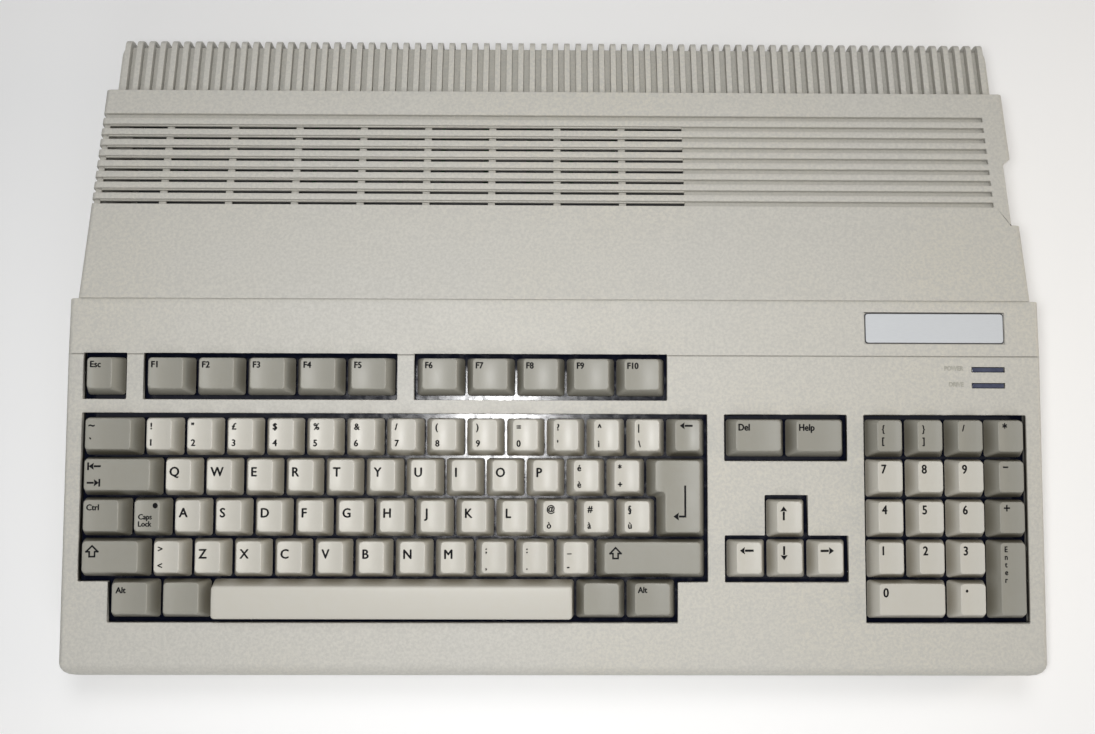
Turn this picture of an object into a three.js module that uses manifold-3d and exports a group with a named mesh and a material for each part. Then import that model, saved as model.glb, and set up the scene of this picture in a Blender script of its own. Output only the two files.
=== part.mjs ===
// A home computer of about 1990 with its keyboard, board and disk drive in one wedge-shaped case.
// Millimetres. X runs to the right, Y to the rear and Z up. The origin lies on the table under the case's middle.
import * as THREE from 'three';
import { mergeVertices } from 'three/addons/utils/BufferGeometryUtils.js';
import Module from 'manifold-3d';

const wasm = await Module();
wasm.setup();

// Case: margins round the keyboard and the drive, and the side profile from the front lip to the rear
const SIDE_MARGIN = 9.16;
const DECK_MARGIN = 1.1;
const DRIVE_MARGIN = 5.25;
const REAR_END_DEPTH = 30.5;
const WALL = 2.5;
const FOOT_HEIGHT = 3;
const PARTING_HEIGHT = 17;
const LIP_HEIGHT = 26.5;
const LIP_RADIUS = 5.5;
const EDGE_RADIUS = 2.6;
const DECK_TILT = THREE.MathUtils.degToRad(10.7);
const DRAFT_SHARE = 0.012;
const STRIP_DEPTH = 26.2;
const STRIP_RISE = 4;
const STEP_RISE = 1.1;
const STEP_INSET = 4;
const PLATEAU_FALL = 4.4;
const SEAM = 0.3;
const FIT = 0.3;
const OVERRUN = 3;

// Ribbed rear end
const RIB_INSET = 4.6;
const RIB_DROP = 1.5;
const RIB_FALL = 0.6;
const RIB_CORNER = 3.8;
const RIB_END_HEIGHT = 34;
const RIB_DEPTH = 3.3;
const RIB_PITCH = 5.96;
const RIB_WIDTH = 2.76;
const RIB_MARGIN = 2;
const REAR_CORNER = 6;

// Cooling grooves across the plateau and the slots in them
const GROOVE_PITCH = 5.88;
const GROOVE_WIDTH = 2.5;
const GROOVE_DEPTH = 1.6;
const GROOVE_COUNT = 9;
const GROOVE_SETBACK = 14.7;
const GROOVE_MARGIN = 12.5;
const SIDE_GROOVE_DEPTH = 1.7;
const SIDE_GROOVE_LENGTH = 14;
const SLOT_PITCH = 32.4;
const SLOT_WEB = 3.5;
const SLOT_COUNT = 9;
const SLOT_MARGIN = 4.6;

// Keyboard: key spacing and the levels of its parts below the deck
const KEY_PITCH = 19.05;
const KEYS_WIDE_COUNT = 23.5;
const KEYS_DEEP_COUNT = 6.5;
const KEYS_SETBACK = 25.5;
const WELL_GAP_X = 0.75;
const WELL_GAP_Y = 1.5;
const KEY_GAP = 1.2;
const KEY_HEIGHT = 9.2;
const SKIRT_DEPTH = 3.2;
const KEY_TRAVEL = 3.6;
const TRAVEL_SPARE = 0.8;
const KEY_CORNER = 1.5;
const KEY_TOP_CORNER = 1.5;
const KEY_SIDE_SLOPE = 2.8;
const KEY_REAR_SLOPE = 0.5;
const KEY_FRONT_SLOPE = 2.8;
const KEY_EDGE = 0.7;
const DISH_RADIUS = 19;
const DISH_DEPTH = 1.1;
const KEY_WALL = 1.4;
const STEM_WIDTH = 5;
const TURRET_WALL = 1.9;
const TURRET_HEIGHT = 4.5;
const FRAME_THICKNESS = 2;
const FRAME_MARGIN = 2.5;
const BACKPLATE_THICKNESS = 1.2;

// Status lamps and the name plate's recess
const LAMP_LENGTH = 15.4;
const LAMP_WIDTH = 2;
const LAMP_PITCH = 7.65;
const LAMP_INSET = 18.3;
const LAMP_SETBACK = 6.8;
const LAMP_FLANGE = 1.4;
const LAMP_SUNK = 0.3;
const PLATE_LENGTH = 67.6;
const PLATE_WIDTH = 15.4;
const PLATE_DEPTH = 0.5;
const PLATE_INSET = 17.5;
const PLATE_SETBACK = 13.4;

// Disk drive at the right, its slot, door and button
const DRIVE_LENGTH = 146;
const DRIVE_WIDTH = 101.6;
const DRIVE_HEIGHT = 25.4;
const DRIVE_BOTTOM = 20;
const DRIVE_RECESS = 8.2;
const DRIVE_CHEEK = 4.3;
const DISK_BAY_LENGTH = 92;
const DISK_BAY_HEIGHT = 6;
const DISK_BAY_BOTTOM = 33;
const FINGER_LENGTH = 33.2;
const FINGER_DEPTH = 5.1;
const FINGER_SLANT = 4;
const DOOR_THICKNESS = 0.9;
const DOOR_SETBACK = 1.5;
const BUTTON_LENGTH = 12;
const BUTTON_HEIGHT = 5;
const BUTTON_STANDOUT = 4;
const BUTTON_TRAVEL = 4;
const BUTTON_BOTTOM = 24;
const BUTTON_INSET = 19.8;
const BUTTON_SEAT = 6;

// Board, shield and what stands on the board
const BOARD_BOTTOM = 14;
const BOARD_THICKNESS = 1.6;
const BOARD_SIDE_GAP = 17;
const BOARD_SHORTFALL = 54.6;
const BOARD_SETBACK = 7.5;
const BOARD_MARGIN = 3.7;
const SHIELD_HEIGHT = 24;
const SHIELD_THICKNESS = 0.8;
const SHIELD_MARGIN = 3;
const SHIELD_SLIT_PITCH = 22;
const SHIELD_SLIT_WIDTH = 2.2;
const CHIP_HEIGHT = 5;
const LONG_CHIP = 62;
const LONG_CHIP_WIDTH = 15.5;
const SQUARE_CHIP = 32;
const SMALL_CHIP = 24;
const SMALL_CHIP_WIDTH = 8.5;

// Sockets along the rear wall
const DSUB_FLANGE_HEIGHT = 12.5;
const DSUB_FLANGE_SPARE = 13.9;
const DSUB_BODY_DEPTH = 11;
const DSUB_SHELL_HEIGHT = 8.4;
const DSUB_SHELL_LENGTH = 6;
const DSUB_SLANT = 1.1;
const DSUB_SHELL_WALL = 0.7;
const DSUB_9 = 16.9;
const DSUB_23 = 36.2;
const DSUB_25 = 39;
const JACK_RADIUS = 4.2;
const JACK_BORE = 1.7;
const JACK_PITCH = 14.5;
const JACK_BODY_WIDTH = 10.5;
const JACK_LENGTH = 6;
const POWER_WIDTH = 13;
const POWER_WALL = 1.8;
const POWER_DEPTH = 9;
const PORT_MARGIN = 10.4;
const PORT_GAP = 3.2;

// Left cover of the expansion slot and the door of the memory bay underneath
const COVER_LENGTH = 96;
const COVER_HEIGHT = 22;
const COVER_BOTTOM = 19.5;
const TONGUE_LENGTH = 8;
const TONGUE_WIDTH = 12;
const TONGUE_THICKNESS = 1.5;
const HATCH_LENGTH = 118;
const HATCH_WIDTH = 66;
const HATCH_PLACE_SHARE = -0.266;
const HATCH_SETBACK = 14.5;

// Posts, ledges and feet of the lower housing
const POST_RADIUS = 4;
const LEDGE_THICKNESS = 3;
const LEDGE_COUNT = 5;
const FOOT_RADIUS = 8;
const FOOT_MARGIN = 26;

// Places worked out from the sizes above
const CASE_WIDTH = KEY_PITCH * KEYS_WIDE_COUNT + SIDE_MARGIN * 2;
const DECK_DEPTH = KEYS_SETBACK + KEY_PITCH * KEYS_DEEP_COUNT * Math.cos(DECK_TILT) + DECK_MARGIN;
const PLATEAU_DEPTH = DRIVE_WIDTH + DRIVE_MARGIN * 2;
const CASE_DEPTH = DECK_DEPTH + STRIP_DEPTH + PLATEAU_DEPTH + REAR_END_DEPTH;
const HALF = CASE_WIDTH / 2;
const FRONT_Y = -CASE_DEPTH / 2;
const REAR_Y = CASE_DEPTH / 2;
const CREASE_Y = FRONT_Y + DECK_DEPTH;
const STEP_Y = CREASE_Y + STRIP_DEPTH;
const PLATEAU_END = STEP_Y + PLATEAU_DEPTH;
const PLATEAU_HALF = HALF - STEP_INSET;
const PLATEAU_MIDDLE = STEP_Y + PLATEAU_DEPTH / 2;
const RIB_HALF = PLATEAU_HALF - RIB_INSET;
const RIB_COUNT = 1 + Math.floor((RIB_HALF * 2 - RIB_WIDTH - RIB_MARGIN * 2) / RIB_PITCH);
const RIBS_HALF = ((RIB_COUNT - 1) * RIB_PITCH + RIB_WIDTH) / 2;
const CREASE_HEIGHT = deckHeight(CREASE_Y);
const PLATEAU_HEIGHT = CREASE_HEIGHT + STRIP_RISE + STEP_RISE;
const PLATEAU_SLOPE = Math.atan2(PLATEAU_FALL, PLATEAU_DEPTH);
const PORT_FACE_Y = REAR_Y - RIB_DEPTH;
const KEYS_LEFT = (-KEY_PITCH * KEYS_WIDE_COUNT) / 2;
const KEYS_FRONT = FRONT_Y + KEYS_SETBACK;
const FRAME_TOP = -(SKIRT_DEPTH + KEY_TRAVEL + TRAVEL_SPARE);
const FRAME_BOTTOM = FRAME_TOP - FRAME_THICKNESS;
const BACKPLATE_TOP = FRAME_BOTTOM - FIT;
const BACKPLATE_BOTTOM = BACKPLATE_TOP - BACKPLATE_THICKNESS;
const DRIVE_FRONT_X = PLATEAU_HALF - DRIVE_RECESS;
const DRIVE_REAR_X = DRIVE_FRONT_X - DRIVE_LENGTH;
const DRIVE_MIDDLE = PLATEAU_MIDDLE;
const DISK_BAY_WIDTH = DRIVE_WIDTH - DRIVE_CHEEK * 2;
const DRIVE_LOW_Y = DRIVE_MIDDLE - DRIVE_WIDTH / 2;
const DRIVE_HIGH_Y = DRIVE_MIDDLE + DRIVE_WIDTH / 2;
const BOARD_TOP = BOARD_BOTTOM + BOARD_THICKNESS;
const BOARD_REAR = PORT_FACE_Y - WALL - BOARD_MARGIN;
const BOARD_LEFT = BOARD_SIDE_GAP - HALF;
const BOARD_RIGHT = DRIVE_FRONT_X - BOARD_SHORTFALL;
const BOARD_FRONT = STEP_Y + BOARD_SETBACK;
const HATCH_X = HALF * HATCH_PLACE_SHARE;
const HATCH_Y = STEP_Y + HATCH_SETBACK + HATCH_WIDTH / 2;
const COVER_MIDDLE = PLATEAU_MIDDLE;
const FLOOR_TOP = FOOT_HEIGHT + WALL;
const PORT_INNER_Y = PORT_FACE_Y - WALL;
const PORT_BASE = BOARD_TOP + FIT;
const PORT_MIDDLE = PORT_BASE + DSUB_FLANGE_HEIGHT / 2;
const PORT_TOP = PORT_MIDDLE + DSUB_SHELL_HEIGHT / 2 + FIT * 2;
const COLOURS = {
  case: 0xbfbcb0, lightKey: 0xd8d4c8, darkKey: 0xa29c8c, steel: 0x9a9ca0, black: 0x16181c,
  board: 0x2f5b3a, lamp: 0x464a5c, drive: 0xa8a598, jack: 0xd9d9d9,
};

// Height of the deck's plane at a distance along the case
function deckHeight(y) {
  return LIP_HEIGHT + Math.tan(DECK_TILT) * (y - FRONT_Y);
}

function frontHeight(y) {
  const alongStrip = Math.max(0, (y - CREASE_Y) / STRIP_DEPTH);
  return y < CREASE_Y ? deckHeight(y) : CREASE_HEIGHT + STRIP_RISE * alongStrip;
}

function plateauHeight(y) {
  return PLATEAU_HEIGHT - (PLATEAU_FALL * (y - STEP_Y)) / PLATEAU_DEPTH;
}

// Solids from closed geometries, and back
function toSolid(geometry) {
  const bare = geometry.clone();
  bare.deleteAttribute('normal');
  bare.deleteAttribute('uv');
  const welded = mergeVertices(bare);
  const vertProperties = new Float32Array(welded.attributes.position.array);
  const triVerts = new Uint32Array(welded.index.array);
  return new wasm.Manifold(new wasm.Mesh({ numProp: 3, vertProperties, triVerts }));
}

function toGeometry(manifold) {
  const mesh = manifold.getMesh();
  const geometry = new THREE.BufferGeometry();
  geometry.setAttribute('position', new THREE.BufferAttribute(new Float32Array(mesh.vertProperties), 3));
  geometry.setIndex(new THREE.BufferAttribute(new Uint32Array(mesh.triVerts), 1));
  geometry.computeVertexNormals();
  return geometry;
}

function joined(solids) {
  return wasm.Manifold.union(solids);
}

function blockGeometry(x0, x1, y0, y1, z0, z1) {
  const geometry = new THREE.BoxGeometry(x1 - x0, y1 - y0, z1 - z0);
  return geometry.translate((x0 + x1) / 2, (y0 + y1) / 2, (z0 + z1) / 2);
}

function block(x0, x1, y0, y1, z0, z1) {
  return toSolid(blockGeometry(x0, x1, y0, y1, z0, z1));
}

function extruded(points, length) {
  const shape = new THREE.Shape(points.map(([a, b]) => new THREE.Vector2(a, b)));
  return new THREE.ExtrudeGeometry(shape, { depth: length, bevelEnabled: false });
}

// An outline in Y and Z, drawn out along X
function alongX(points, x0, x1) {
  const turn = new THREE.Matrix4().makeBasis(
    new THREE.Vector3(0, 1, 0), new THREE.Vector3(0, 0, 1), new THREE.Vector3(1, 0, 0));
  return toSolid(extruded(points, x1 - x0).applyMatrix4(turn).translate(x0, 0, 0));
}

// An outline in X and Z, drawn out along Y
function alongY(points, y0, y1) {
  const turn = new THREE.Matrix4().makeBasis(
    new THREE.Vector3(1, 0, 0), new THREE.Vector3(0, 0, 1), new THREE.Vector3(0, -1, 0));
  return toSolid(extruded(points, y1 - y0).applyMatrix4(turn).translate(0, y1, 0));
}

// An outline in X and Y, drawn out along Z
function alongZ(points, z0, z1) {
  return toSolid(extruded(points, z1 - z0).translate(0, 0, z0));
}

// A closed body through rings with equal numbers of points, each counter-clockwise seen from past the last ring
function loft(rings, project) {
  const count = rings[0].length;
  const positions = rings.flat().flatMap((p) => [p.x, p.y, p.z]);
  const index = [];
  for (let r = 0; r + 1 < rings.length; r += 1) {
    for (let i = 0; i < count; i += 1) {
      const j = (i + 1) % count;
      const a = r * count;
      const b = a + count;
      index.push(a + i, a + j, b + j, a + i, b + j, b + i);
    }
  }
  const last = (rings.length - 1) * count;
  const cap = (ring) => THREE.ShapeUtils.triangulateShape(ring.map(project), [])
    .map((corners) => corners.toSorted((a, b) => a - b));
  for (const [a, b, c] of cap(rings[0])) {
    index.push(c, b, a);
  }
  for (const [a, b, c] of cap(rings.at(-1))) {
    index.push(last + a, last + b, last + c);
  }
  const geometry = new THREE.BufferGeometry();
  geometry.setAttribute('position', new THREE.Float32BufferAttribute(positions, 3));
  geometry.setIndex(index);
  return toSolid(geometry);
}

const upright = (p) => new THREE.Vector2(p.x, p.z);
const level = (p) => new THREE.Vector2(p.x, p.y);

// The matrix that carries deck coordinates, with Z square to the deck, into the case
const deckMatrix = new THREE.Matrix4()
  .makeTranslation(KEYS_LEFT, KEYS_FRONT, deckHeight(KEYS_FRONT))
  .multiply(new THREE.Matrix4().makeRotationX(DECK_TILT));

function onDeck(manifold) {
  return manifold.transform(deckMatrix.toArray());
}

// One cross-section of the case: drafted sides and rounded upper edges, seen from the rear
function caseRing(y, half, top, bottom, radius) {
  const topHalf = half - DRAFT_SHARE * (top - bottom);
  const steps = 3;
  const arc = (side, k) => {
    const turn = (k / steps) * (Math.PI / 2);
    return new THREE.Vector3(
      side * (topHalf - radius + radius * Math.cos(turn)), y, top - radius + radius * Math.sin(turn));
  };
  const ring = [new THREE.Vector3(half, y, bottom)];
  for (let k = 0; k <= steps; k += 1) {
    ring.push(arc(1, k));
  }
  for (let k = steps; k >= 0; k -= 1) {
    ring.push(arc(-1, k));
  }
  ring.push(new THREE.Vector3(-half, y, bottom));
  return ring.reverse();
}

// The keyboard half of the case, drawn in by an inset for its inside
function frontBody(inset, bottom, endY) {
  const lip = LIP_RADIUS - inset;
  const edge = EDGE_RADIUS - inset / 2;
  const steps = 4;
  const rings = [];
  for (let k = 0; k <= steps; k += 1) {
    const turn = (k / steps) * (Math.PI / 2);
    const y = FRONT_Y + inset + lip * (1 - Math.cos(turn));
    const fall = lip * (1 - Math.sin(turn));
    rings.push(caseRing(y, HALF - inset - fall, frontHeight(y) - inset - fall, bottom, edge));
  }
  for (const y of [CREASE_Y, endY]) {
    rings.push(caseRing(y, HALF - inset, frontHeight(y) - inset, bottom, edge));
  }
  return loft(rings, upright);
}

function plateauBody(inset, bottom, startY, endY) {
  const rings = [startY, endY].map((y) =>
    caseRing(y, PLATEAU_HALF - inset, plateauHeight(y) - inset, bottom, EDGE_RADIUS - inset / 2));
  return loft(rings, upright);
}

// Side profile of the rear end, drawn in by an inset
function ribProfile(inset, startY) {
  const top = plateauHeight(PLATEAU_END) - RIB_DROP - inset;
  const radius = Math.max(RIB_CORNER - inset, 0);
  const middle = [REAR_Y - inset - radius, top - RIB_FALL - radius];
  const steps = radius > 0 ? 3 : 0;
  const points = [[startY, top]];
  for (let k = 0; k <= steps; k += 1) {
    const turn = (k / Math.max(steps, 1)) * (Math.PI / 2);
    points.push([middle[0] + radius * Math.sin(turn), middle[1] + radius * Math.cos(turn)]);
  }
  return points;
}

// Rounded rear right corner of the case in plan, drawn in by an inset
function rearCorner(inset) {
  const reach = RIB_HALF - RIBS_HALF;
  const middle = [RIBS_HALF - inset, PORT_FACE_Y - REAR_CORNER - inset];
  const steps = 4;
  const points = [];
  for (let k = 0; k <= steps; k += 1) {
    const turn = (k / steps) * (Math.PI / 2);
    points.push([middle[0] + reach * Math.cos(turn), middle[1] + REAR_CORNER * Math.sin(turn)]);
  }
  return points;
}

function rearBody() {
  const start = PLATEAU_END - WALL;
  const outline = [...ribProfile(0, start), [REAR_Y, RIB_END_HEIGHT], [PORT_FACE_Y, RIB_END_HEIGHT],
    [PORT_FACE_Y, PARTING_HEIGHT], [start, PARTING_HEIGHT]].reverse();
  const right = [[RIB_HALF, start], ...rearCorner(0), [RIBS_HALF, REAR_Y]];
  const plan = [...right, ...right.map(([x, y]) => [-x, y]).reverse()];
  const tall = PLATEAU_HEIGHT + OVERRUN;
  return alongX(outline, -RIB_HALF, RIB_HALF).intersect(alongZ(plan, 0, tall));
}

function rearInside(bottom) {
  const inset = RIB_DEPTH + WALL;
  const start = PLATEAU_END - WALL - OVERRUN;
  const outline = [...ribProfile(inset, start), [REAR_Y - inset, bottom], [start, bottom]].reverse();
  return alongX(outline, WALL - RIB_HALF, RIB_HALF - WALL);
}

// The cuts between the ribs, all alike, side by side, and one past each end of the row
function ribCuts() {
  const high = PLATEAU_HEIGHT + OVERRUN;
  const outline = [...ribProfile(RIB_DEPTH, PLATEAU_END), [PORT_FACE_Y, RIB_END_HEIGHT - OVERRUN],
    [REAR_Y + OVERRUN, RIB_END_HEIGHT - OVERRUN], [REAR_Y + OVERRUN, high], [PLATEAU_END, high]].reverse();
  const width = RIB_PITCH - RIB_WIDTH;
  const cuts = [];
  for (let i = 0; i + 1 < RIB_COUNT; i += 1) {
    const middle = (i - (RIB_COUNT - 2) / 2) * RIB_PITCH;
    cuts.push(alongX(outline, middle - width / 2, middle + width / 2));
  }
  cuts.push(alongX(outline, RIBS_HALF, RIB_HALF + OVERRUN), alongX(outline, -RIB_HALF - OVERRUN, -RIBS_HALF));
  return cuts;
}

// Grooves over the plateau's left edge, and the slots through the wall in all but the rearmost
function ventCuts() {
  const cuts = [];
  const place = new THREE.Matrix4()
    .makeTranslation(0, PLATEAU_END, plateauHeight(PLATEAU_END))
    .multiply(new THREE.Matrix4().makeRotationX(-PLATEAU_SLOPE));
  const first = PLATEAU_HALF - SLOT_MARGIN;
  for (let g = 0; g < GROOVE_COUNT; g += 1) {
    const y = -GROOVE_SETBACK - g * GROOVE_PITCH;
    const low = y - GROOVE_WIDTH / 2;
    const high = y + GROOVE_WIDTH / 2;
    cuts.push(block(-HALF, PLATEAU_HALF - GROOVE_MARGIN, low, high, -GROOVE_DEPTH, OVERRUN));
    const side = SIDE_GROOVE_DEPTH - PLATEAU_HALF;
    cuts.push(block(-HALF, side, low, high, -SIDE_GROOVE_LENGTH, OVERRUN));
    for (let s = 0; g > 0 && s < SLOT_COUNT; s += 1) {
      const left = s * SLOT_PITCH - first;
      const right = left + SLOT_PITCH - SLOT_WEB;
      cuts.push(block(left, right, low, high, -WALL - OVERRUN, OVERRUN));
    }
  }
  return cuts.map((cut) => cut.transform(place.toArray()));
}

// Openings round the groups of keys, as outlines in key units from the front left key
const WELLS = [
  [[0, 5.5], [1, 5.5], [1, 6.5], [0, 6.5]],
  [[1.5, 5.5], [7.75, 5.5], [7.75, 6.5], [1.5, 6.5]],
  [[8.25, 5.5], [14.5, 5.5], [14.5, 6.5], [8.25, 6.5]],
  [[0.75, 0], [14.75, 0], [14.75, 1], [15.5, 1], [15.5, 5], [0, 5], [0, 1], [0.75, 1]],
  [[16, 4], [19, 4], [19, 5], [16, 5]],
  [[16, 1], [19, 1], [19, 2], [18, 2], [18, 3], [17, 3], [17, 2], [16, 2]],
  [[19.5, 0], [23.5, 0], [23.5, 5], [19.5, 5]],
];

// Moves each side of a square-cornered outline outwards by the gap round the keys
function wellOutline(corners) {
  const count = corners.length;
  return corners.map(([x, y], i) => {
    const before = corners[(i + count - 1) % count];
    const after = corners[(i + 1) % count];
    const run = [after[0] - before[0], after[1] - before[1]];
    return [x * KEY_PITCH + Math.sign(run[1]) * WELL_GAP_X, y * KEY_PITCH - Math.sign(run[0]) * WELL_GAP_Y];
  });
}

function lampPlaces() {
  const top = KEYS_DEEP_COUNT * KEY_PITCH + WELL_GAP_Y;
  return [0, 1].map((i) => ({
    x: HALF - LAMP_INSET - LAMP_LENGTH / 2 - KEYS_LEFT,
    y: top - LAMP_SETBACK - i * LAMP_PITCH,
  }));
}

function deckCuts() {
  const cuts = WELLS.map((corners) => alongZ(wellOutline(corners), -WALL - OVERRUN, OVERRUN));
  for (const { x, y } of lampPlaces()) {
    const halfLength = LAMP_LENGTH / 2 + FIT;
    const halfWidth = LAMP_WIDTH / 2 + FIT;
    cuts.push(block(x - halfLength, x + halfLength, y - halfWidth, y + halfWidth, -WALL - OVERRUN, OVERRUN));
  }
  return cuts.map(onDeck);
}

function plateRecess() {
  const slope = Math.atan2(STRIP_RISE, STRIP_DEPTH);
  const place = new THREE.Matrix4()
    .makeTranslation(0, CREASE_Y, CREASE_HEIGHT)
    .multiply(new THREE.Matrix4().makeRotationX(slope));
  const low = PLATE_SETBACK - PLATE_WIDTH / 2;
  const right = HALF - PLATE_INSET;
  const cut = block(right - PLATE_LENGTH, right, low, low + PLATE_WIDTH, -PLATE_DEPTH, OVERRUN);
  return cut.transform(place.toArray());
}

// Thick part of the right wall, where the disk slot, the finger recess and the button go through
function drivePad() {
  const low = DRIVE_LOW_Y - WALL;
  const high = DRIVE_HIGH_Y + WALL;
  const outline = [[low, PARTING_HEIGHT], [high, PARTING_HEIGHT],
    [high, plateauHeight(high) - WALL / 2], [low, plateauHeight(low) - WALL / 2]];
  return alongX(outline, DRIVE_FRONT_X + FIT, PLATEAU_HALF - WALL / 2);
}

function buttonBox(gap) {
  const middle = DRIVE_HIGH_Y - BUTTON_INSET;
  return {
    y0: middle - BUTTON_LENGTH / 2 - gap, y1: middle + BUTTON_LENGTH / 2 + gap,
    z0: BUTTON_BOTTOM - gap, z1: BUTTON_BOTTOM + BUTTON_HEIGHT + gap,
  };
}

function driveCuts() {
  const slotHalf = DISK_BAY_WIDTH / 2 + FIT;
  const out = HALF + OVERRUN;
  const slotLow = DISK_BAY_BOTTOM - FIT;
  const fingerLow = DRIVE_MIDDLE - FINGER_LENGTH / 2;
  const fingerHigh = DRIVE_MIDDLE + FINGER_LENGTH / 2;
  const floorX = PLATEAU_HALF - FINGER_DEPTH;
  const finger = [[floorX, fingerLow], [out, fingerLow], [out, fingerHigh + FINGER_SLANT],
    [PLATEAU_HALF, fingerHigh + FINGER_SLANT], [floorX, fingerHigh]];
  const b = buttonBox(FIT);
  return [
    block(DRIVE_FRONT_X - OVERRUN, out, DRIVE_MIDDLE - slotHalf, DRIVE_MIDDLE + slotHalf,
      slotLow, slotLow + DISK_BAY_HEIGHT + FIT * 2),
    alongZ(finger, slotLow, PLATEAU_HEIGHT + OVERRUN),
    block(DRIVE_FRONT_X - OVERRUN, out, b.y0, b.y1, b.z0, b.z1),
  ];
}

function coverWindow(gap) {
  const half = COVER_LENGTH / 2 + gap;
  return block(-HALF - OVERRUN, WALL + OVERRUN - PLATEAU_HALF, COVER_MIDDLE - half, COVER_MIDDLE + half,
    COVER_BOTTOM - gap, COVER_BOTTOM + COVER_HEIGHT + gap);
}

// Sockets from left to right: name, kind, width of what shows and width of the body behind the wall
const PORTS = [
  ['joystick_port_1', 'plug', DSUB_9],
  ['joystick_port_2', 'plug', DSUB_9],
  ['audio_jacks', 'jacks', JACK_PITCH + JACK_RADIUS * 2],
  ['disk_port', 'socket', DSUB_23],
  ['serial_port', 'plug', DSUB_25],
  ['parallel_port', 'socket', DSUB_25],
  ['power_socket', 'power', POWER_WIDTH],
  ['video_port', 'plug', DSUB_23],
  ['mono_video_jack', 'jacks', JACK_RADIUS * 2],
].map(([name, kind, width]) => ({ name, kind, width, bodyWidth: width + socketSpare(kind) }));

// What a socket's body is wider than what shows of it
function socketSpare(kind) {
  const spare = { jacks: JACK_BODY_WIDTH - JACK_RADIUS * 2, power: WALL * 2 };
  return spare[kind] ?? DSUB_FLANGE_SPARE;
}

// Middle of a socket: the bodies stand side by side from the left end of the rear wall
function portX(port) {
  const before = PORTS.slice(0, PORTS.indexOf(port));
  const run = before.reduce((sum, { bodyWidth }) => sum + bodyWidth + PORT_GAP, 0);
  return PORT_MARGIN - RIB_HALF + run + port.bodyWidth / 2;
}

function portCuts() {
  return PORTS.map((port) => {
    const half = port.width / 2 + FIT * 2;
    const top = port.kind === 'power' ? PORT_BASE + WALL + POWER_WIDTH + FIT * 2 : PORT_TOP;
    return block(portX(port) - half, portX(port) + half, PORT_INNER_Y - OVERRUN, REAR_Y + OVERRUN,
      PARTING_HEIGHT - OVERRUN, top);
  });
}

function upperHousing() {
  const low = PARTING_HEIGHT - OVERRUN;
  const outside = joined([
    frontBody(0, PARTING_HEIGHT, STEP_Y), plateauBody(0, PARTING_HEIGHT, STEP_Y, PLATEAU_END), rearBody()]);
  const inside = joined([
    frontBody(WALL, low, STEP_Y - WALL),
    plateauBody(WALL, low, STEP_Y - WALL - OVERRUN, PLATEAU_END - WALL),
    rearInside(low)]);
  const cuts = [...ribCuts(), ...ventCuts(), ...deckCuts(), ...driveCuts(), ...portCuts(),
    plateRecess(), coverWindow(FIT)];
  return outside.subtract(inside).add(drivePad()).subtract(joined(cuts));
}

// Plan of the case at one height, drawn in by an inset
function planRing(inset, z) {
  const corner = LIP_RADIUS;
  const steps = 4;
  const right = [];
  for (let k = 0; k <= steps; k += 1) {
    const turn = (k / steps) * (Math.PI / 2);
    const r = Math.max(corner - inset, corner / 4);
    right.push([HALF - inset - r + r * Math.sin(turn), FRONT_Y + inset + r - r * Math.cos(turn)]);
  }
  right.push([HALF - inset, STEP_Y - inset], [PLATEAU_HALF - inset, STEP_Y - inset],
    [PLATEAU_HALF - inset, PLATEAU_END - inset], [RIB_HALF - inset, PLATEAU_END - inset], ...rearCorner(inset));
  const left = right.map(([x, y]) => [-x, y]).reverse();
  return [...right, ...left].map(([x, y]) => new THREE.Vector3(x, y, z));
}

function post(x, y, top, radius) {
  const geometry = new THREE.CylinderGeometry(radius, radius, top - FOOT_HEIGHT - WALL / 2, 6);
  geometry.rotateX(Math.PI / 2).translate(x, y, (top + FOOT_HEIGHT + WALL / 2) / 2);
  return toSolid(geometry);
}

function foot(x, y) {
  const height = FOOT_HEIGHT + WALL / 2;
  const geometry = new THREE.CylinderGeometry(FOOT_RADIUS, FOOT_RADIUS * 0.9, height, 12);
  return toSolid(geometry.rotateX(Math.PI / 2).translate(x, y, height / 2));
}

// A ledge that carries the keyboard: an upright web with a sloping top
function keyboardLedge(x) {
  const start = KEYS_FRONT;
  const end = CREASE_Y - WALL;
  const under = (BACKPLATE_BOTTOM - FIT) / Math.cos(DECK_TILT);
  const bottom = FLOOR_TOP - WALL / 2;
  const outline = [[start, bottom], [end, bottom], [end, deckHeight(end) + under], [start, deckHeight(start) + under]];
  return alongX(outline, x - LEDGE_THICKNESS / 2, x + LEDGE_THICKNESS / 2);
}

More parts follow.
